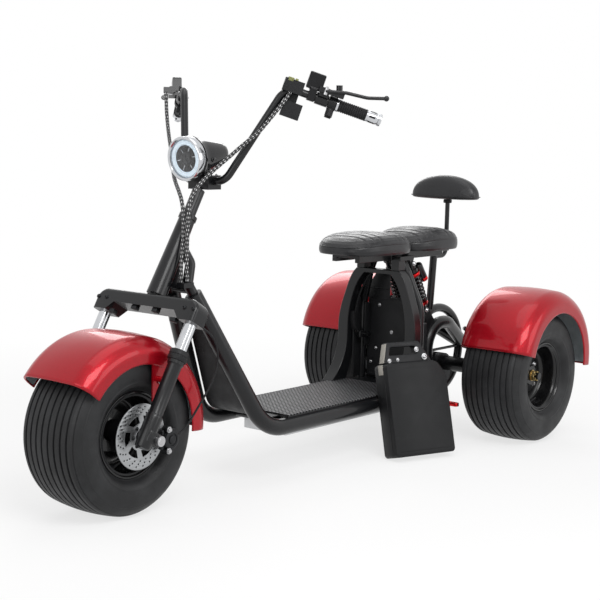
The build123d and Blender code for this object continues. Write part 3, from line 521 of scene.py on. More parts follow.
def block(centre, size, round_edge=2.0, segments=3, x_dir=X, y_dir=Y):
    """A box with rounded edges, sizes in millimetres, lined up with two directions."""
    mesh = bmesh.new()
    bmesh.ops.create_cube(mesh, size=1)
    for vert in mesh.verts:
        vert.co = Vector([c * s / 1000 for c, s in zip(vert.co, size)])
    bmesh.ops.bevel(mesh, geom=mesh.edges[:], offset=round_edge / 1000, segments=segments,
                    profile=0.5, affect="EDGES")
    turn = lined_up(x_dir, y_dir)
    points = [turn @ vert.co + Vector(centre) for vert in mesh.verts]
    mesh.verts.index_update()
    faces = [tuple(vert.index for vert in face.verts) for face in mesh.faces]
    mesh.free()
    return points, faces


def curve_shape(data):
    """The points and faces of a curve, which is used up."""
    holder = add("curve", data)
    bpy.context.view_layer.update()
    mesh = bpy.data.meshes.new_from_object(holder)
    points = [vert.co.copy() for vert in mesh.vertices]
    faces = [tuple(face.vertices) for face in mesh.polygons]
    bpy.data.objects.remove(holder)
    bpy.data.curves.remove(data)
    bpy.data.meshes.remove(mesh)
    return points, faces


def plate(outline, thickness, origin, x_dir, y_dir, round_edge=1.0, holes=()):
    """A flat plate from an outline in millimetres, with holes cut by a filled curve."""
    data = bpy.data.curves.new("plate", "CURVE")
    data.dimensions = "2D"
    data.fill_mode = "BOTH"
    data.extrude = max(thickness / 2 - round_edge, 0.01) / 1000
    data.bevel_depth = round_edge / 1000
    data.bevel_resolution = 1
    data.offset = -round_edge / 1000
    for ring in (outline, *holes):
        spline = data.splines.new("POLY")
        spline.points.add(len(ring) - 1)
        for point, (a, b) in zip(spline.points, ring):
            point.co = (a / 1000, b / 1000, 0, 1)
        spline.use_cyclic_u = True
    points, faces = curve_shape(data)
    turn = lined_up(x_dir, y_dir)
    return [turn @ point + Vector(origin) for point in points], faces


def circle(radius, steps, centre=(0, 0)):
    return [(centre[0] + radius * cos(tau * k / steps), centre[1] + radius * sin(tau * k / steps))
            for k in range(steps)]


def rounded(corners, radius, steps=6):
    """A polygon in millimetres with its corners rounded."""
    found = []
    for i, corner in enumerate(corners):
        here = Vector(corner)
        before = Vector(corners[i - 1]) - here
        after = Vector(corners[(i + 1) % len(corners)]) - here
        cut = min(radius, 0.45 * before.length, 0.45 * after.length)
        first = here + before.normalized() * cut
        last = here + after.normalized() * cut
        for k in range(steps + 1):
            t = k / steps
            found.append(tuple((1 - t) ** 2 * first + 2 * t * (1 - t) * here + t ** 2 * last))
    return found


def join(*shapes):
    points, faces = [], []
    for some_points, some_faces in shapes:
        base = len(points)
        points += some_points
        faces += [tuple(base + i for i in face) for face in some_faces]
    return points, faces


def both(shape):
    """A shape and its mirror image on the other side."""
    points, faces = shape
    return join(shape, ([flip(p) for p in points], [tuple(reversed(face)) for face in faces]))


def bolt(place, normal, size, head="dome"):
    """A bolt head on a washer: hex, or a domed socket head."""
    place, normal = Vector(place), Vector(normal).normalized()
    rise = size * 0.3
    washer = [(0, 0.1), (0, size * 1.35), (size * 0.18, size * 1.4), (rise, size * 1.3), (rise, 0.1)]
    if head == "hex":
        crown = [(rise, size), (rise + size * 0.62, size), (rise + size * 0.78, size * 0.86),
                 (rise + size * 0.78, 0.1)]
    else:
        crown = [(rise, size), (rise + size * 0.35, size * 0.97), (rise + size * 0.62, size * 0.72),
                 (rise + size * 0.68, size * 0.5), (rise + size * 0.3, size * 0.46), (rise + size * 0.3, 0.1)]
    return join(lathe(washer, place, normal, 24), lathe(crown, place, normal, 6 if head == "hex" else 24))


def bolts(places, normal, size, head="dome"):
    """Several bolts alike."""
    return join(*[bolt(place, normal, size, head) for place in places])


# ---------------- pieces
SHARP = radians(32)
WELD_DISTANCE = 0.00002  # metres
SAME_POINT = 1e-6  # metres


def mesh_object(name, points, faces, *materials):
    """A smooth-shaded mesh object in the scene."""
    mesh = bpy.data.meshes.new(name)
    mesh.from_pydata([tuple(p) for p in points], [], faces)
    for material in materials:
        mesh.materials.append(material)
    mesh.shade_smooth()
    return add(name, mesh)


def settle(made, body, replaced=()):
    """Hides the CAD nodes that a piece replaces and puts the piece on the body that it rides on."""
    if replaced:
        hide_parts(*replaced)
    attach(made, body)


def piece(name, shape, material, body, replaced=(), sharp=SHARP):
    """Makes one mesh piece, smooth except at hard edges, and sets what it rides on."""
    made = mesh_object(name, *shape, material)
    cleaned = bmesh.new()
    cleaned.from_mesh(made.data)
    bmesh.ops.remove_doubles(cleaned, verts=cleaned.verts[:], dist=SAME_POINT)
    bmesh.ops.recalc_face_normals(cleaned, faces=cleaned.faces[:])
    cleaned.to_mesh(made.data)
    cleaned.free()
    if sharp:
        made.data.set_sharp_from_angle(angle=sharp)
    settle(made, body, replaced)
    return made


def dress(name, material, round_edge=0.0, angle=35):
    """Gives a CAD node its material, smooth shading and a small rounding of its hard edges."""
    made = nodes[name]
    mesh = made.data
    mesh.materials.clear()
    mesh.materials.append(material)
    custom = mesh.attributes.get("custom_normal")
    if custom:
        mesh.attributes.remove(custom)
    made.modifiers.new("weld", "WELD").merge_threshold = WELD_DISTANCE
    mesh.shade_smooth()
    if round_edge:
        bevel = made.modifiers.new("bevel", "BEVEL")
        bevel.width = round_edge / 1000
        bevel.segments = 3
        bevel.limit_method = "ANGLE"
        bevel.angle_limit = radians(angle)
        bevel.use_clamp_overlap = True
        bevel.harden_normals = True
    else:
        made.modifiers.new("edges", "EDGE_SPLIT").split_angle = radians(angle)


# ---------------- wheels
GROOVES = [-77, -56, -34, -11.5, 11.5, 34, 56, 77]
GROOVE_DEPTH = 4.5
GROOVE_HALF = 3.4
GROOVE_SLOPE = 1.3
TREAD_HALF = 87.5
CROWN_HALF = 87
CROWN_DROP = 6
VALVE_ANGLE = 0.6
DISC_Y = 120


def tyre_profile():
    """(across, radius) outline of the tyre from one bead to the other, with circumferential grooves."""
    crown = []
    for k in range(-350, 351):
        y = TREAD_HALF * k / 350
        near = min(abs(y - g) for g in GROOVES)
        depth = GROOVE_DEPTH * max(0.0, min(1.0, (GROOVE_HALF - near) / GROOVE_SLOPE))
        on_wall = 1.8 < near < 3.8
        if k % 2 == 0 or on_wall:
            crown.append((y, TYRE_RADIUS - CROWN_DROP * (y / CROWN_HALF) ** 2 - depth))
    side = [(90, 217.6), (94, 214.8), (94.6, 212.6), (95.6, 212.6), (97, 212.6), (101, 208.4), (105, 203),
            (108.6, 196), (109.2, 193.6), (110.6, 192.6), (112, 186), (113.4, 177), (113.8, 168),
            (113.9, 160), (113.6, 152), (112.3, 146), (112.9, 144.6), (112.3, 142.6), (110.9, 138.6),
            (107, 132.6), (102, 128), (96, 123.6), (92.4, 121), (91.6, 119.4), (89, 118.6), (88, 117),
            (88, 104)]
    return [(-y, r) for y, r in reversed(side)] + crown + side


def rim_profile(side, web_y, hub_radius, hub_end):
    """(across, radius) outline of one side of a deep-dish rim, from lip to hub end."""
    lip = [(87.6, 117.2), (90.5, 118), (92.4, 117), (93, 114.6), (92.6, 112.6), (90, 111), (86, 107.6),
           (83, 104), (78, 101.4), (70, 99.4), (52, 98.2)]
    web = [(22, 97), (13, 94), (8.5, 88), (6.6, 78), (5.6, 66), (7.4, 60), (7.8, 56), (6, hub_radius + 10),
           (8.5, hub_radius + 3), (14, hub_radius)]
    hub = [(hub_end - 2, hub_radius), (hub_end, hub_radius - 2), (hub_end, 13)]
    return [(side * y, r) for y, r in lip + [(web_y + y, r) for y, r in web] + hub]


def ring_of(count, radius, centre, across, make, start=0.0):
    """Copies of a small shape set round a wheel's axis."""
    return join(*[make(round_y(centre, across, radius, start + tau * k / count)) for k in range(count)])


def set_on(shape, origin, axis_y):
    """Moves a shape built on +Y at the origin so that +Y points along axis_y."""
    side, _ = frame_for(axis_y)
    turn = turned_to(side, Vector(axis_y).normalized(), side.cross(Vector(axis_y).normalized()))
    points, faces = shape
    return [Vector(origin) + turn @ p for p in points], faces


def wheel(name, body, tyre_node, centre, web_y, hub_radius, hub_end):
    """A ribbed tyre on a deep-dish rim."""
    piece(name + "_tyre_ribbed", lathe(tyre_profile(), centre, Y, 160), tyre_tread, body, [tyre_node],
          sharp=radians(38))
    dish = join(lathe(rim_profile(1, web_y, hub_radius, hub_end), centre, Y, 96),
                lathe(rim_profile(-1, -web_y, hub_radius, hub_end), centre, Y, 96))
    piece(name + "_rim_dish", dish, rim_black, body, [tyre_node.replace("tyre", "rim")], sharp=radians(40))


def valve(name, centre, body, side):
    """A rubber tyre valve standing out of the rim's well."""
    spoke = Vector((sin(VALVE_ANGLE), 0, -cos(VALVE_ANGLE)))
    root = centre + Vector((0, side * 74, 0)) / 1000 + spoke * 0.0985
    stem = lathe([(0, 0.1), (0, 6), (2, 6), (3, 4), (16, 3.4), (17, 2.8), (26, 2.8), (27, 2.2), (27, 0.1)],
                 Vector((0, 0, 0)), Y, 16)
    piece(name + "_valve", set_on(stem, root, -spoke + Vector((0, side * 0.9, 0))), rubber, body)


def disc_holes():
    """Six curved windows between the disc's arms, three rows of small drillings and the hub's hole."""
    slant = 0.16

    def on_circle(radius, angle):
        return radius * cos(angle), radius * sin(angle)

    windows, drilled = [], []
    for middle in (tau * k / 6 for k in range(6)):
        outer = [on_circle(57, middle + a) for a in (-0.36, -0.24, -0.12, 0, 0.12, 0.24, 0.36)]
        inner = [on_circle(37, middle + a + slant) for a in (0.30, 0.1, -0.1, -0.30)]
        windows.append(outer + inner)
    for k in range(20):
        for row, radius in enumerate((65.5, 73, 80.5)):
            drilled.append(circle(2.5, 12, on_circle(radius, tau * (k + 0.30 * row) / 20)))
    return [*windows, *drilled, circle(17, 32)]


def rear_hub(side, name, body):
    """The flange with its lug nuts outside a rear rim's web, and the brake drum inside it."""
    centre = REAR if side > 0 else flip(REAR)
    flange = [(27, 60), (33, 60), (35, 58), (35.5, 50), (37, 47), (37, 35)]
    drum = [(-24, 40), (-30, 66), (-44, 66), (-46, 62), (-46, 36)]
    lugs = ring_of(4, 48, centre, side * 35.5, lambda spot: bolt(spot, Y * side, 6.5, "hex"), pi / 4)
    flange, drum = (lathe([(side * y, r) for y, r in line], centre, Y, 64) for line in (flange, drum))
    piece("rear_hub_flange_" + name, flange, cast_black, body)
    piece("rear_lug_nuts_" + name, lugs, steel, body)
    piece("rear_brake_drum_" + name, drum, cast_black, body)


def castle_nut(centre):
    """A slotted axle nut with its washer and the threaded end of the axle, facing left."""
    washer = lathe([(0, 12.2), (0, 18.8), (2.4, 18.8), (2.4, 12.2)], centre, Y)
    hexagon = lathe([(2.6, 12.2), (2.6, 17), (3.4, 18), (13.6, 18), (14.4, 17), (14.4, 12.2)], centre, Y, 6)
    teeth = []
    for k in range(6):
        angle = tau * (k + 0.5) / 6
        out = Vector((cos(angle), 0, sin(angle)))
        teeth.append(block(centre + Y * 0.0178 + out * 0.0145, (3.6, 6.4, 8), 0.6, 2, out, Y))
    return join(washer, hexagon, *teeth)


wheel("front", "front_wheel", "front_tyre", FRONT, 0, 27, 118.5)
wheel("rear_left", "rear_wheel_left", "rear_tyre_left", REAR, 20, 34, 48)
wheel("rear_right", "rear_wheel_right", "rear_tyre_right", flip(REAR), -20, 34, 48)
valve("front", FRONT, "front_wheel", 1)
valve("rear_left", REAR, "rear_wheel_left", 1)
valve("rear_right", flip(REAR), "rear_wheel_right", -1)
disc_shape = plate(circle(88.8, 128), 3, FRONT + Y * DISC_Y / 1000, X, Z, 0.3, disc_holes())
piece("brake_disc_drilled", disc_shape, disc_steel, "front_wheel", ["brake_disc"])
disc_bolts = ring_of(6, 27, FRONT, DISC_Y + 1.4, lambda spot: bolt(spot, Y, 4))
piece("brake_disc_bolts", disc_bolts, cast_black, "front_wheel")
carrier = lathe([(112, 27), (113, 34), (118, 34), (118.4, 30), (118.4, 12)], FRONT, Y)
piece("front_disc_carrier", carrier, cast_black, "front_wheel")
rear_hub(1, "left", "rear_wheel_left")
rear_hub(-1, "right", "rear_wheel_right")
piece("axle_castle_nuts", both(castle_nut(REAR + Y * 0.050)), brass, "chassis", ["axle_nuts"])

# ---------------- fork
FORK_Y = 165


def fork_leg():
    """The left leg's chrome tube, its lower leg with the axle's foot, and the dust collar."""
    base = steer(0, FORK_Y, 0)
    tube_shape = lathe([(236, 17), (323, 17)], base, STEER_UP)
    lower = lathe([(-34, 0.1), (-34, 18), (-32, 20.6), (-28, 22), (-10, 22.8), (52, 22.8), (58, 22),
                   (61, 20.4), (64, 19.6), (200, 19.6), (203, 20.6), (206, 22.6), (215, 22.6)],
                  base, STEER_UP)
    collar = lathe([(214, 22), (215, 25.6), (218, 27), (226, 27), (227.4, 25.8), (229, 25.8), (230.4, 27),
                    (240, 26.6), (243, 24.6), (244, 22), (243.4, 17.4)], base, STEER_UP)
    foot = block(steer(-12, FORK_Y, 0), (53, 47, 37), 7, 4, STEER_FORWARD)
    ribs = [block(steer(20.4, FORK_Y, s), (4, 20, 3), 1.2, 2, STEER_FORWARD) for s in (30, 38, 46)]
    return tube_shape, join(lower, foot, *ribs), collar


stanchion, lower_leg, collar = fork_leg()
piece("fork_stanchion_tubes", both(stanchion), chrome, "steering", ["fork_stanchions"])
piece("fork_lower_legs", both(lower_leg), black_paint, "steering", ["fork_lowers"])
piece("fork_dust_collars", both(collar), satin_plastic, "steering")
axle_bolts = join(*[bolt(FRONT + out * 0.1895, out, 10, "hex") for out in (Y, -Y)])
piece("front_axle_bolts", axle_bolts, steel, "steering")
dress("front_axle", steel)
dress("fork_crown", black_paint)
tabs = [block(steer(18, y, s), (16, 20, 12), 2, 2, STEER_FORWARD)
        for y, s in ((118, 321), (-118, 321), (40, 340), (-40, 340))]
piece("crown_tabs", join(*tabs), cast_black, "steering")
pinch = bolts([steer(31.2, y, 356) for y in (150, 182, -150, -182)], STEER_FORWARD, 4.5)
piece("crown_bolts", pinch, cast_black, "steering")


def caliper():
    """The round cylinder body, the bridge over the disc, the arm to the leg and two ears, and their bolts."""
    x, z = WHEELBASE - 82, TYRE_RADIUS - 15
    body = lathe([(139, 0.1), (139, 25), (141, 27), (155, 27), (158, 25.6), (159.6, 22), (159.6, 17),
                  (157.6, 16), (157.6, 12), (160.4, 11), (161.4, 8), (161.4, 0.1)], at(x, 0, z), Y)
    bridge = join(block(at(x - 2, 137, z), (58, 22, 58), 8, 4), block(at(x - 2, 112.6, z), (50, 6, 46)),
                  block(at(x - 26, 122, z), (9, 26, 40)))
    arm = block(at(WHEELBASE - 34, 136, TYRE_RADIUS - 3), (66, 9.4, 30), 3)
    heights = (z + 29, z - 29)
    ears = join(*[lathe([(140, 0.1), (140, 10), (158, 10), (159, 9), (159, 0.1)], at(x + 12, 0, h), Y, 32)
                  for h in heights])
    heads = bolts([at(x + 12, 157.4, h) for h in heights], Y, 6.2, "hex")
    return join(body, bridge, arm, ears), heads


caliper_shape, caliper_heads = caliper()
piece("caliper_body", caliper_shape, cast_black, "steering", ["brake_caliper"])
piece("caliper_bolts", caliper_heads, steel, "steering")

# ---------------- fenders
FENDER_CORNER = 42
FENDER_SKIRT = 76
FENDER_CROWN = 10
FENDER_SHEET = 2.8
LIP_RADIUS = 2.4
LIP_INSET = 3.4
REAR_FENDER = at(-32, REAR.y * 1000 + 4, TYRE_RADIUS + 41)


def fender_outline(half_width, top):
    """(across, radius) points over the sheet from the left skirt's edge to the right one."""
    shoulder = top - FENDER_CROWN
    low = top - FENDER_SKIRT
    edge = [(half_width, low + (shoulder - FENDER_CORNER - low) * k / 8) for k in range(8)]
    for k in range(13):
        angle = pi / 2 * k / 12
        y = half_width - FENDER_CORNER + FENDER_CORNER * cos(angle)
        bulge = (FENDER_CROWN * (1 - (y / half_width) ** 2)) * (k / 12) ** 2
        edge.append((y, shoulder - FENDER_CORNER + FENDER_CORNER * sin(angle) + bulge))
    flat = half_width - FENDER_CORNER
    across = [flat - 2 * flat * k / 24 for k in range(1, 24)]
    crown = [(y, shoulder + FENDER_CROWN * (1 - (y / half_width) ** 2)) for y in across]
    return edge + crown + [(-y, r) for y, r in reversed(edge)]


def fender_sheet(name, centre, half_width, top, start_deg, end_deg, body, replaced=()):
    """A fender as a thin sheet with a grey inner side and a rolled lip all round."""
    outline = fender_outline(half_width - 0.6, top - 0.4)
    steps = 96
    low, high = radians(start_deg), radians(end_deg)
    points = [round_y(centre, y, r, low + (high - low) * k / steps)
              for k in range(steps + 1) for y, r in outline]
    made = mesh_object(name, points, sheet_faces(steps + 1, len(outline)), red_paint, grey_liner)
    solid = made.modifiers.new("thickness", "SOLIDIFY")
    solid.thickness = FENDER_SHEET / 1000
    solid.offset = -1
    solid.material_offset = 1
    solid.material_offset_rim = 0
    settle(made, body, replaced)
    edge_y, edge_r = outline[0][0] - LIP_INSET, outline[0][1] + 1
    inner = [(y * (1 - LIP_INSET / half_width), r - LIP_INSET) for y, r in outline[1:-1]]
    turns = [(high - low) * k / 72 for k in range(73)]
    loop = [round_y(centre, edge_y, edge_r, low + turn) for turn in turns]
    loop += [round_y(centre, y, r, high - 0.004) for y, r in inner]
    loop += [round_y(centre, -edge_y, edge_r, high - turn) for turn in turns]
    loop += [round_y(centre, y, r, low + 0.004) for y, r in reversed(inner)]
    piece(name + "_lip", tube(loop + loop[:1], LIP_RADIUS, 10, False), red_paint, body, sharp=0)


def rear_fender_bolts():
    """Screws through the left rear fender's inner skirt, each with its nut behind the sheet."""
    shapes = []
    for angle in (34, 90, 152):
        spot = round_y(REAR_FENDER, -132.6, 203, radians(angle))
        shapes += [bolt(spot, Y, 6), bolt(spot - Y * 0.01176, -Y, 6, "hex")]
    return join(*shapes)


fender_sheet("front_fender_skin", FRONT, 130, 270, 38, 184, "steering", ["front_fender"])
fender_sheet("rear_fender_skin_left", REAR_FENDER, 134, 255, 15, 186, "chassis", ["rear_fenders"])
fender_sheet("rear_fender_skin_right", flip(REAR_FENDER), 134, 255, 15, 186, "chassis")
dress("front_fender_stays", red_paint, 0.8)
dress("rear_fender_stays", black_paint)
stay_bolts = bolts([at(WHEELBASE - 64, 128.6, TYRE_RADIUS + h) for h in (112, 142)], Y, 6, "hex")
piece("front_stay_bolts", both(stay_bolts), steel, "steering")
piece("rear_fender_bolts", both(rear_fender_bolts()), steel, "chassis")

# ---------------- CAD nodes that are shown as they are
for name, edge in (("main_tubes", 0), ("head_tube", 0), ("cross_members", 0), ("handlebar", 0),
                   ("seat_frame", 5), ("seat_arcs", 0), ("bar_clamp", 3), ("seat_rails", 2), ("rear_axle", 0),
                   ("swing_arms", 0), ("rear_ring", 0), ("rear_seat_post", 0), ("backrest_post", 0),
                   ("peg_brackets", 1.2), ("lever_perches", 2.0)):
    dress(name, black_paint, edge, 40)
for name, material, edge in (("drive_motor", cast_black, 3), ("deck_pan", black_paint, 0),
                             ("deck_mat", deck_rubber, 1), ("under_tray", aluminium, 3),
                             ("splash_plate", splash_paint, 0), ("bay_panel", satin_plastic, 0.8),
                             ("controller_box", black_plastic, 4), ("switch_boxes", satin_plastic, 3),
                             ("display", gloss_plastic, 3), ("brake_levers", black_paint, 0)):
    dress(name, material, edge)

# ---------------- seats
SEAT_FOOT = 642
SEAM = 0.40
SEAM_WIDTH, SEAM_DEPTH = 0.010, 1.6
CHANNEL_WIDTH, CHANNEL_DEPTH = 3.0, 3.0
SECTION = [(0.0, 0.945, 0.0), (0.05, 0.972, 0.012), (0.14, 0.992, 0.10), (0.24, 1.0, 0.25),
           (0.34, 0.995, 0.42), (0.42, 0.975, 0.555), (0.50, 0.930, 0.69), (0.58, 0.860, 0.80),
           (0.68, 0.730, 0.895), (0.80, 0.50, 0.965), (1.0, 0.0, 1.0)]


def sign(value):
    return 1 if value >= 0 else -1


def signed_power(value, power):
    """A cosine or sine raised to a power that keeps its sign."""
    return abs(value) ** power * sign(value)


def section_at(t):
    """The saddle's (share of its outline, share of its height) at t, from foot to crown."""
    for (t0, s0, h0), (t1, s1, h1) in zip(SECTION, SECTION[1:]):
        if t <= t1:
            k = (t - t0) / (t1 - t0)
            k = k * k * (3 - 2 * k) * 0.35 + k * 0.65
            return s0 + (s1 - s0) * k, h0 + (h1 - h0) * k


def cushion(name, x_min, x_max, half_width, height, power, nose, ribs, replaced):
    """A moulded saddle: crowned top with sewn cross channels, a piped edge and a firm side band."""
    rings, around = 88, 260
    half = (x_max - x_min) / 2
    middle = (x_min + x_max) / 2

    def surface(t, angle):
        scale, rise = section_at(t)
        x = half * abs(cos(angle)) ** (2 / power) * sign(cos(angle))
        narrow = 1 - nose * max(0.0, x / half) ** 2
        y = half_width * narrow * abs(sin(angle)) ** (2 / power) * sign(sin(angle))
        x, y = x * scale, y * scale
        front = max(0.0, x / half)
        rear = max(0.0, -x / half)
        z = rise * (height * (1 - 0.30 * front ** 2.2 - 0.10 * rear ** 2.4))
        if t > SEAM:
            inner = min(1.0, (t - SEAM) / 0.10)
            nearest = min(abs(x - r - 16 * (y / half_width) ** 2) for r in ribs)
            sink = CHANNEL_DEPTH * exp(-(nearest / CHANNEL_WIDTH) ** 2)
            z += inner * (1.0 - sink - 0.02 * nearest)
        groove = exp(-((t - SEAM) / SEAM_WIDTH) ** 2)
        pull = 0.6 * sin(angle * 23) * exp(-((t - 0.30) / 0.07) ** 2)
        return x - 0.004 * x * groove, y * (1 - 0.012 * groove), z - SEAM_DEPTH * groove + pull * 0.5

    def bead(t, spread, rise):
        """Points round the saddle at t, a little outside or inside its skin."""
        spots = [surface(t, tau * i / 160) for i in range(161)]
        return [at(middle + x * spread, y * spread, SEAT_FOOT + rise(z)) for x, y, z in spots]

    points = []
    for k, count in [(k, around) for k in range(rings)] + [(rings, 1)]:
        for i in range(count):
            x, y, z = surface(k / rings, tau * i / around)
            points.append(at(middle + x, y, SEAT_FOOT + z))
    last = (rings - 1) * around
    faces = ring_faces(rings, around)
    faces += [(last + i, last + (i + 1) % around, len(points) - 1) for i in range(around)]
    faces.append(tuple(range(around))[::-1])
    made = piece(name, (points, faces), leather, "chassis", replaced, sharp=radians(70))
    piping = tube(bead(SEAM - 0.004, 1.004, lambda z: z + 1.0), 1.9, 8, False)
    piece(name + "_piping", piping, leather, "chassis", sharp=0)
    trim = tube(bead(0.02, 0.985, lambda z: 3.4), 3.0, 8, False)
    piece(name + "_base_trim", trim, rubber, "chassis", sharp=0)


PAD_X = -20
PAD_FOOT = 12
PAD_SEAM_Z = 806.6 + PAD_FOOT


def backrest():
    """A half-round padded rest with a flat base and a seam round its edge."""
    across, steps = 150, 72
    width, thick, tall = 132, 40.4, 73
    points = []
    for k in range(steps + 1):
        lean = pi * k / steps
        ring = sin(lean)
        for i in range(across):
            c, s = cos(tau * i / across), sin(tau * i / across)
            rise = tall * (ring ** 0.80) * s ** 0.9 if s >= 0 else -PAD_FOOT * abs(s) ** 0.5 * ring ** 0.3
            points.append(at(PAD_X + thick * (ring ** 0.55) * signed_power(c, 0.8), -width * cos(lean),
                             PAD_SEAM_Z + rise))
    made = piece("backrest_cushion", (points, ring_faces(steps + 1, across)), leather, "chassis",
                 ["backrest_pad"], sharp=radians(75))
    turns = [tau * k / 120 for k in range(121)]
    loop = [at(PAD_X + 40.2 * signed_power(cos(turn), 0.35), 131.4 * signed_power(sin(turn), 0.75),
               PAD_SEAM_Z) for turn in turns]
    piece("backrest_piping", tube(loop, 1.6, 8, False), leather, "chassis", sharp=0)


FRONT_RIBS = [-112, -82, -52, -22, 8, 38, 68, 96]
REAR_RIBS = [-104, -75, -46, -17, 12, 41, 70, 96]
cushion("front_saddle", 306, 617, 121, 69, 3.5, 0.17, FRONT_RIBS, ["front_seat"])
cushion("rear_saddle", 11, 295, 115, 74, 3.4, 0.12, REAR_RIBS, ["rear_seat"])
backrest()
socket = lathe([(0, 8.4), (0, 14), (3, 15), (10, 15), (13, 12), (13, 8.4)], at(-36, 0, 793), Z, 32)
piece("backrest_socket", socket, satin_plastic, "chassis")

# ---------------- battery bay
PANEL_X = 275
bay_heads = bolts([at(PANEL_X, y, z) for y, z in ((-62, 447), (48, 440), (-8, 357), (-72, 296), (-92, 246))],
                  X, 4.6)
piece("bay_bolts", bay_heads, steel, "chassis")
fold = tube([at(PANEL_X + 2, y, 504) for y in (-100, -26)], 2.6)
ledge = tube([at(PANEL_X + 2, y, 474) for y in (-14, 104)], 3.0)
side_rib = block(at(PANEL_X + 5, 84, 330), (9, 6, 270), 1.6)
low_rib = block(at(PANEL_X + 6, 0, 205), (12, 190, 10), 1.6)
piece("bay_folds", join(fold, ledge, side_rib, low_rib), black_plastic, "chassis")
cable_path = [at(x, y, z) for x, y, z in (
    (356, -112.3, 208), (354, -112.3, 298), (353, -112.3, 388), (352, -103.8, 448), (352, -83.8, 506),
    (352, -55.8, 554), (352, -39.8, 564))]
piece("bay_cable", tube(smooth_path(cable_path), 3.4), rubber, "chassis")
cover_outline = [(-108, 470), (-20, 470), (-20, 567), (-72, 567), (-97, 530), (-108, 498)]
cover = plate(cover_outline, 1.6, at(PANEL_X + 1, 0, 0), Y, Z, 0.5)
side_wall = block(at(326, -116.6, 376), (33, 2, 358), 0.6, 2)
piece("bay_covers", join(cover, side_wall), satin_plastic, "chassis")
piece("bay_channel", block(at(298, -97, 380), (30, 5, 150), 1.4), satin_plastic, "chassis")
strap_path = [at(366, -112, 430), at(364, -111, 392), at(356, -107, 366), at(340, -98, 352),
              at(322, -88, 347)]
piece("bay_strap", strap(strap_path, 20, 2, Y), rubber, "chassis", sharp=radians(50))
buckle = join(block(at(330, -92, 348), (34, 10, 22)), block(at(306, -84, 346), (20, 8, 12), 1.5, 2))
piece("bay_buckle", buckle, gloss_plastic, "chassis")

# ---------------- battery pack
BATTERY_X, BATTERY_FOOT_Y = 474, 235.3
BATTERY_MIDDLE = 36
BATTERY_TALL = 300
LEAN, YAW = radians(15), radians(20)
ALONG = Vector((cos(YAW), -sin(YAW), 0))
LEAN_UP = Vector((-sin(LEAN) * sin(YAW), -sin(LEAN) * cos(YAW), cos(LEAN)))
LEAN_OUT = LEAN_UP.cross(ALONG)


def on_battery(x, out, up):
    """A point in the battery's own leaning axes, from the middle of its lower inner edge."""
    return at(BATTERY_X, BATTERY_FOOT_Y, 0) + (ALONG * x + LEAN_OUT * out + LEAN_UP * up) / 1000


def side_plate(corners, radius, thickness, out, up, round_edge, holes=()):
    """A plate in the battery's large side, its corners rounded, from (along, up) points."""
    outline, *rings = [[(-a, b) for a, b in reversed(rounded(ring, size))]
                       for ring, size in ((corners, radius), *holes)]
    return plate(outline, thickness, on_battery(0, out, up), -ALONG, LEAN_UP, round_edge, rings)


shell = side_plate([(-116, 8), (-109, 0), (109, 0), (116, 8), (116, 292), (108, 300), (-66, 300), (-88, 292),
                    (-116, 248)], 8, 71.4, BATTERY_MIDDLE, 0, 4)
piece("battery_shell", shell, battery_skin, "battery_pack", ["battery_case"])
lid_outline = [(-103, 14), (103, 14), (103, 284), (-62, 284), (-80, 278), (-103, 242)]
lid = side_plate(lid_outline, 8, 1.6, 71.0, 0, 0.6)
piece("battery_lid", lid, battery_skin, "battery_pack")
grip_hole = [(-24, 26), (86, 26), (79, 52), (-18, 52)]
battery_grip = side_plate([(-80, 0), (110, 0), (91, 68), (-34, 68)], 7, 28, BATTERY_MIDDLE, BATTERY_TALL, 2.4,
                          [(grip_hole, 6)])
piece("battery_grip", battery_grip, black_plastic, "battery_pack", ["battery_handle"])
edge_top, edge_low = on_battery(91.6, BATTERY_MIDDLE, 365), on_battery(109.8, BATTERY_MIDDLE, 303)
edge_out = (edge_low - edge_top).normalized().cross(LEAN_OUT)
strip = block((edge_top + edge_low) / 2 + edge_out * -0.0006, (2.4, 26, 64), 0.9, 2, edge_out, LEAN_OUT)
side_strip = block(on_battery(115.6, BATTERY_MIDDLE, 282), (1.8, 26, 32), 0.7, 2, ALONG, LEAN_OUT)
piece("battery_cream_strip", join(strip, side_strip), cream_plastic, "battery_pack")
locks = [bolt(on_battery(x, 50.4, BATTERY_TALL + up), LEAN_OUT, size)
         for x, up, size in ((-50, 15, 7.4), (-22, 40, 6), (88, 9, 5), (55, 11, 4))]
piece("battery_locks", join(*locks), steel, "battery_pack")
feet = [block(on_battery(x, out, 3.4), (22, 14, 6), 2, 2, ALONG, LEAN_OUT)
        for x in (-88, 88) for out in (14, 58)]
piece("battery_feet", join(*feet), rubber, "battery_pack")
seam_path = [on_battery(116.2, 52, up) for up in (18, 262)]
piece("battery_side_seam", tube(seam_path, 0.9, 8), rubber, "battery_pack", sharp=0)

# ---------------- shocks
SHOCK_Y = 45
SHOCK_TOP, SHOCK_LOW = at(252, SHOCK_Y, 598), at(158, SHOCK_Y, 430)
SHOCK_AXIS = (SHOCK_LOW - SHOCK_TOP).normalized()
SHOCK_LENGTH = (SHOCK_LOW - SHOCK_TOP).length * 1000
CAN_LOW, CAN_TOP = at(165, SHOCK_Y, 536), at(210, SHOCK_Y, 594)
CAN_LENGTH = (CAN_TOP - CAN_LOW).length * 1000
COIL_TURNS = 7


def shock_spot(along):
    return SHOCK_TOP + SHOCK_AXIS * along / 1000


def shock_lathe(profile):
    return lathe(profile, SHOCK_TOP, SHOCK_AXIS, 40)


def can_lathe(profile):
    return lathe(profile, CAN_LOW, (CAN_TOP - CAN_LOW).normalized(), 40)


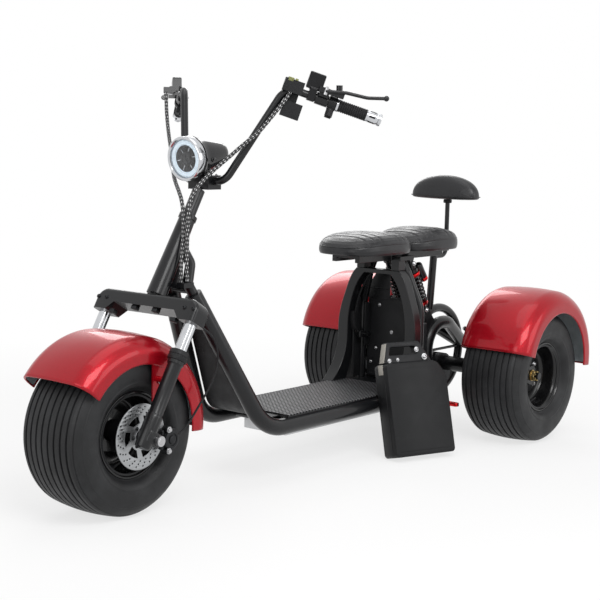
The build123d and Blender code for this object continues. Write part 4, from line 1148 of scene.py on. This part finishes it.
def coil_spring():
    """The coil between the two collars."""
    side, up = frame_for(SHOCK_AXIS)
    first, last = 50, SHOCK_LENGTH - 40
    coil = []
    for k in range(COIL_TURNS * 24 + 1):
        angle = tau * k / 24
        coil.append(shock_spot(first + (last - first) * k / (COIL_TURNS * 24))
                    + (side * cos(angle) + up * sin(angle)) * 0.0182)
    return tube(coil, 3.6, 10)


damper = shock_lathe([(-18, 0.1), (-18, 9), (-14, 12), (8, 13), (20, 13), (22, 17), (34, 17.6), (36, 13),
                      (52, 12.6), (SHOCK_LENGTH - 34, 9), (SHOCK_LENGTH - 30, 9), (SHOCK_LENGTH - 6, 10),
                      (SHOCK_LENGTH + 6, 10), (SHOCK_LENGTH + 7, 0.1)])
can = can_lathe([(14, 0.1), (14, 14.4), (CAN_LENGTH - 8, 14.4), (CAN_LENGTH - 4, 13), (CAN_LENGTH - 1, 9),
                 (CAN_LENGTH - 1, 0.1)])
neck = tube([CAN_LOW.lerp(CAN_TOP, 0.7), shock_spot(28)], 7, 16)
piece("shock_bodies", both(join(damper, can, neck)), black_paint, "chassis", ["shock_absorbers"])
piece("shock_springs", both(coil_spring()), black_paint, "chassis", sharp=0)
low = SHOCK_LENGTH - 38
top_collar = shock_lathe([(36, 12.8), (36, 20.4), (38, 21.6), (46, 21.6), (48, 20.4), (48, 12.8)])
low_collar = shock_lathe([(low, 8), (low, 20.6), (low + 8, 21.4), (low + 11, 20), (low + 11, 8)])
can_end = can_lathe([(0, 0.1), (0, 12), (2, 14.6), (14, 14.6), (16, 13.4), (22, 13.4), (23, 12), (23, 0.1)])
piece("shock_collars", both(join(top_collar, low_collar, can_end)), red_anodised, "chassis")
eyes = bolts([shock_spot(0) + Y * 0.0135, shock_spot(SHOCK_LENGTH) + Y * 0.0105], Y, 6, "hex")
piece("shock_bolts", both(eyes), steel, "chassis")

# ---------------- foot pegs
PEG_X, PEG_Y, PEG_Z = 258, 180, 140


def peg(name, side):
    """A flat slotted folding peg with a hinge eye."""
    outline = rounded([(-9.6, 14), (9.6, 14), (10.8, 26), (10.8, 74), (6, 79.6), (-6, 79.6), (-10.8, 74),
                       (-10.8, 26)], 3)
    slots = [rounded([(-6.4, a), (6.4, a), (6.4, a + 8), (-6.4, a + 8)], 3, 4) for a in (31, 45, 59)]
    base = at(PEG_X, side * PEG_Y, PEG_Z)
    shape = join(plate(outline, 12, base, X, Y * side, 1.4, slots),
                 block(base + Y * side * 0.006, (17, 28, 15), 3))
    piece("peg_plate_" + name, shape, red_anodised, "peg_" + name, ["foot_peg_" + name])


peg("left", 1)
peg("right", -1)
pins = [bolt(at(PEG_X + out * 14.4, PEG_Y, PEG_Z), X * out, 4) for out in (1, -1)]
piece("peg_pin_heads", both(join(*pins)), steel, "chassis")

# ---------------- headlight
LAMP = at(1325, 0, 950)
LAMP_BACK = Vector((-1, 0, 0.11)).normalized()
CLAMP_X = 1236
shell_profile = [(26, 62.4), (31, 62.6), (34, 60.4), (40, 57.6), (60, 53.6), (90, 46.8), (120, 39.4),
                 (142, 33.6), (156, 29.2), (162, 24), (164.6, 15), (164.8, 0.1)]
ring_profile = [(9.5, 52.4), (3, 54.4), (0.8, 57), (0.4, 60), (2, 62.2), (6, 63), (22, 63), (27, 62),
                (27, 58)]
halo_profile = [(11, 52.2), (8, 50), (7.4, 45), (8, 40), (11, 37.6)]
reflector_profile = [(11.4, 37.4), (14, 34), (22, 26), (26, 21), (20, 19.6), (12, 19.4), (9.6, 18), (9, 14),
                     (10.6, 8), (11, 0.1)]
glass_profile = [(5.4, 52.6), (3.4, 44), (2.2, 30), (1.6, 14), (1.4, 0.1), (2.6, 0.1), (2.8, 14), (3.4, 30),
                 (4.6, 44), (6.6, 52.6)]


def lamp_vanes():
    """Six bright vanes round the lamp's middle."""
    vanes = []
    for k in range(6):
        angle = tau * k / 6 + 0.2
        out = Y * cos(angle) + Z * sin(angle)
        vanes.append(block(LAMP + LAMP_BACK * 0.0145 + out * 0.028, (16, 2.2, 3), 0.6, 2, out,
                           LAMP_BACK.cross(out)))
    return join(*vanes)


def lamp_ring(name, profile, material, replaced=()):
    piece(name, lathe(profile, LAMP, LAMP_BACK, 96), material, "steering", replaced)


lamp_ring("lamp_housing", shell_profile, gloss_plastic, ["headlight_shell"])
lamp_ring("lamp_bezel", ring_profile, chrome, ["headlight_ring"])
lamp_ring("lamp_halo", halo_profile, halo)
lamp_ring("lamp_reflector", reflector_profile, gloss_plastic)
piece("lamp_vanes", lamp_vanes(), chrome, "steering")
lamp_ring("lamp_glass", glass_profile, lens_glass, ["headlight_lens"])
bracket_path = [at(CLAMP_X, 24, 925), at(CLAMP_X, 34, 938), at(1250, 47, 948), at(1262, 50, 950)]
bracket = join(strap(bracket_path, 16, 3.6, X), bolt(at(1262, 51, 950), Y, 5))
piece("lamp_brackets", both(bracket), black_paint, "steering")
clamp_bolts = bolts([at(CLAMP_X + x, y, 905) for x in (-19, 19) for y in (-28, 28)], Z, 4)
piece("clamp_bolts", clamp_bolts, steel, "steering")

# ---------------- grips and controls
RIB_PITCH = 6.2
DISPLAY_AT = 199


def grip_ring(name, profile, material, replaced=(), sharp=SHARP):
    """A turned piece on both grips, its profile counted inboard from the bar's end."""
    piece(name, both(lathe(profile, BAR_END, -BAR_OUT)), material, "steering", replaced, sharp)


def bar_block(distance, forward, up, length, depth, height, round_edge=2.0):
    return block(on_bar(distance, forward, up), (length, depth, height), round_edge, 3, BAR_OUT, BAR_FORWARD)


grip_profile = [(36.4, 11.4), (36.4, 16.4), (37.4, 17)]
for rib in (40 + k * RIB_PITCH for k in range(12)):
    grip_profile += [(rib, 16.8), (rib + 0.8, 15.5), (rib + 2.2, 15.5), (rib + 3, 16.8), (rib + 5.2, 16.9)]
grip_profile += [(114, 16.9), (115.4, 17), (117.6, 16.4), (117.8, 11.4)]
grip_ring("grip_sleeves", grip_profile, rubber, ["grips"], radians(28))
cap_profile = [(-9, 0.1), (-9, 14), (-8, 16.6), (-6, 17.6), (-4.8, 17.8), (-4.6, 16.8), (-3.4, 16.8),
               (-3.2, 17.8), (-0.6, 17.8), (-0.2, 17), (0, 12)]
grip_ring("grip_end_caps", cap_profile, chrome, ["grip_caps"])
sleeve_profile = [(0.3, 11.4), (0.3, 16.2), (1.6, 16.8), (4, 16.2), (6, 16.2), (8, 16.8), (30, 16.8),
                  (32, 16.2), (34, 16.2), (36, 16.8), (36.2, 11.4)]
grip_ring("grip_end_sleeves", sleeve_profile, chrome)
slots = []
for angle in (tau * k / 6 for k in range(6)):
    out = BAR_FORWARD * cos(angle) + BAR_UP * sin(angle)
    slots.append(block(on_bar(19) + out * 0.0165, (18, 5.2, 0.9), 0.3, 1, BAR_OUT, BAR_OUT.cross(out)))
piece("grip_end_slots", both(join(*slots)), rubber, "steering")
inner_profile = [(118.2, 17), (118.4, 18.8), (119.4, 19.2), (124.6, 19.2), (125.6, 18.4), (125.8, 11.6)]
grip_ring("grip_inner_rings", inner_profile, chrome)

piece("display_face", bar_block(DISPLAY_AT, -6.4, 43, 38, 2.4, 38, 1.0), screen, "steering")
hood = join(bar_block(DISPLAY_AT, -4, 64.2, 45, 12, 4, 1.4),
            *[bar_block(DISPLAY_AT + side * 21.4, -4, 43, 4, 12, 44, 1.4) for side in (-1, 1)])
piece("display_hood", hood, gloss_plastic, "steering")
buttons = join(bar_block(262, -20.6, 12, 12, 4, 8, 1.2), bar_block(246, -20.6, 12, 9, 4, 8, 1.2),
               bar_block(240, -22.4, -50, 18, 5, 9, 1.6))
piece("control_buttons", buttons, satin_plastic, "steering")
button_profile = [(0, 0.1), (0, 5.4), (3, 5.4), (4, 4.4), (4, 0.1)]
kill_switch = lathe(button_profile, on_bar(228, -22, -66), -BAR_FORWARD, 24)
piece("control_kill_switch", kill_switch, red_button, "steering")
loom_plug = join(bar_block(268, 18, 24, 18, 12, 12), bar_block(252, 19, 26, 9, 10, 10))
piece("loom_plug", loom_plug, yellow_plug, "steering")
lever_pin = on_bar(166, 34, 24)
pivot = join(lathe([(-10, 0.1), (-10, 6), (10, 6), (10, 0.1)], lever_pin, BAR_UP, 24),
             lathe([(10, 0.1), (10, 4), (13, 4), (14, 3), (14, 0.1)], lever_pin, BAR_UP, 6))
piece("lever_pivots", both(pivot), steel, "steering")
thumb = lathe([(-3, 0.1), (-3, 8.4), (0, 9.4), (3, 9.6), (3.6, 0.1)], on_bar(137, -2, -40), -BAR_UP, 24)
piece("thumb_buttons", both(thumb), satin_plastic, "steering")
reservoir = block(flip(on_bar(164, 15, 60.4)), (41, 27, 4), 1.6, 3, flip(BAR_OUT), flip(BAR_FORWARD))
piece("reservoir_lid", reservoir, gloss_plastic, "steering")
lid_bolts = bolts([flip(on_bar(164 + a, 15 + b, 62)) for a in (-15, 15) for b in (-8, 8)], flip(BAR_UP), 2.6)
piece("reservoir_bolts", lid_bolts, steel, "steering")
perch_bolts = bolts([on_bar(distance, -17, 0) for distance in (156, 180)], -BAR_FORWARD, 3.2)
piece("perch_bolts", both(perch_bolts), steel, "steering")

# ---------------- looms and brake hose
LOOM_LEFT = [
    on_bar(258, 17, -6), at(1129, 207, 1125), at(1151, 194, 1094), at(1172, 177, 1060), at(1192, 158, 1026),
    at(1220, 132, 996), at(1258, 101, 952), at(1293, 74, 914), at(1329, 55, 873), at(1350, 50, 834),
    at(1355, 51, 795), at(1356, 50, 757), at(1357, 50, 707), at(1361, 52, 657), at(1359, 54, 611),
]
LOOM_RIGHT = [
    flip(on_bar(181, 48, 16)), at(1100, -289, 1107), at(1113, -273, 1070), at(1131, -250, 1034),
    at(1154, -221, 1001), at(1184, -185, 970), at(1222, -142, 942), at(1266, -96, 916), at(1307, -50, 890),
    at(1336, -6, 864), at(1351, 22, 836), at(1356, 34, 797), at(1358, 36, 757), at(1361, 37, 707),
    at(1370, 40, 657), at(1371, 42, 611),
]
HOSE = [
    steer(-30, 150, 338), at(1394, 152, 496), at(1362, 156, 472), at(1345, 160, 434), at(1348, 162, 392),
    at(1366, 162, 352), at(1392, 161, 317), at(1420, 159, 284), at(1446, 156, 252), at(1466, 152, 228),
    at(1490, 149, 216),
]
LOOM_RADIUS = 5.5
LOOM_SIDES = 20
BRAID_REPEAT = 0.3  # metres of loom for one repeat of the weave
HOSE_RADIUS = 3.0


def route_curve(name, points):
    """A smooth spline with its route's points as control points."""
    data = bpy.data.curves.new(name, "CURVE")
    data.dimensions = "3D"
    spline = data.splines.new("NURBS")
    spline.points.add(len(points) - 1)
    for point, spot in zip(spline.points, points):
        point.co = (*spot, 1)
    spline.order_u = 3
    spline.use_endpoint_u = True
    spline.resolution_u = 16
    return data


def run_along(points):
    """The length in metres from the first point to each of them."""
    runs = [0.0]
    for a, b in zip(points, points[1:]):
        runs.append(runs[-1] + (b - a).length)
    return runs


def loom(name, points, replaced):
    """A wrapped loom: a braided tube along its route, left in world coordinates."""
    line, _ = curve_shape(route_curve("line", points))
    made = mesh_object(name, *tube(line, LOOM_RADIUS, LOOM_SIDES), loom_braid)
    mesh = made.data
    uv = mesh.uv_layers.new(name="UVMap")
    runs = run_along(line)
    for face in mesh.polygons:
        turns = [mesh.loops[loop].vertex_index % LOOM_SIDES for loop in face.loop_indices]
        for loop, turn in zip(face.loop_indices, turns):
            run = runs[mesh.loops[loop].vertex_index // LOOM_SIDES]
            around = LOOM_SIDES if turn == 0 and max(turns) == LOOM_SIDES - 1 else turn
            uv.data[loop].uv = (run / BRAID_REPEAT, around / LOOM_SIDES)
    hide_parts(*replaced)
    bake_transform(made)


def brake_hose():
    """The front brake's hose, all of it on the steering body."""
    line, _ = curve_shape(route_curve("line", HOSE))
    made = add("brake_hose_line", route_curve("brake_hose_line", HOSE))
    made.data.bevel_depth = HOSE_RADIUS / 1000
    made.data.bevel_resolution = 6
    made.data.use_fill_caps = True
    made.data.materials.append(rubber)
    settle(made, "steering", ["front_brake_hose"])


loom("loom_left_sleeve", LOOM_LEFT, ["wiring_loom_left", "loom_tail_left"])
loom("loom_right_sleeve", LOOM_RIGHT, ["wiring_loom_right", "loom_tail_right"])
brake_hose()
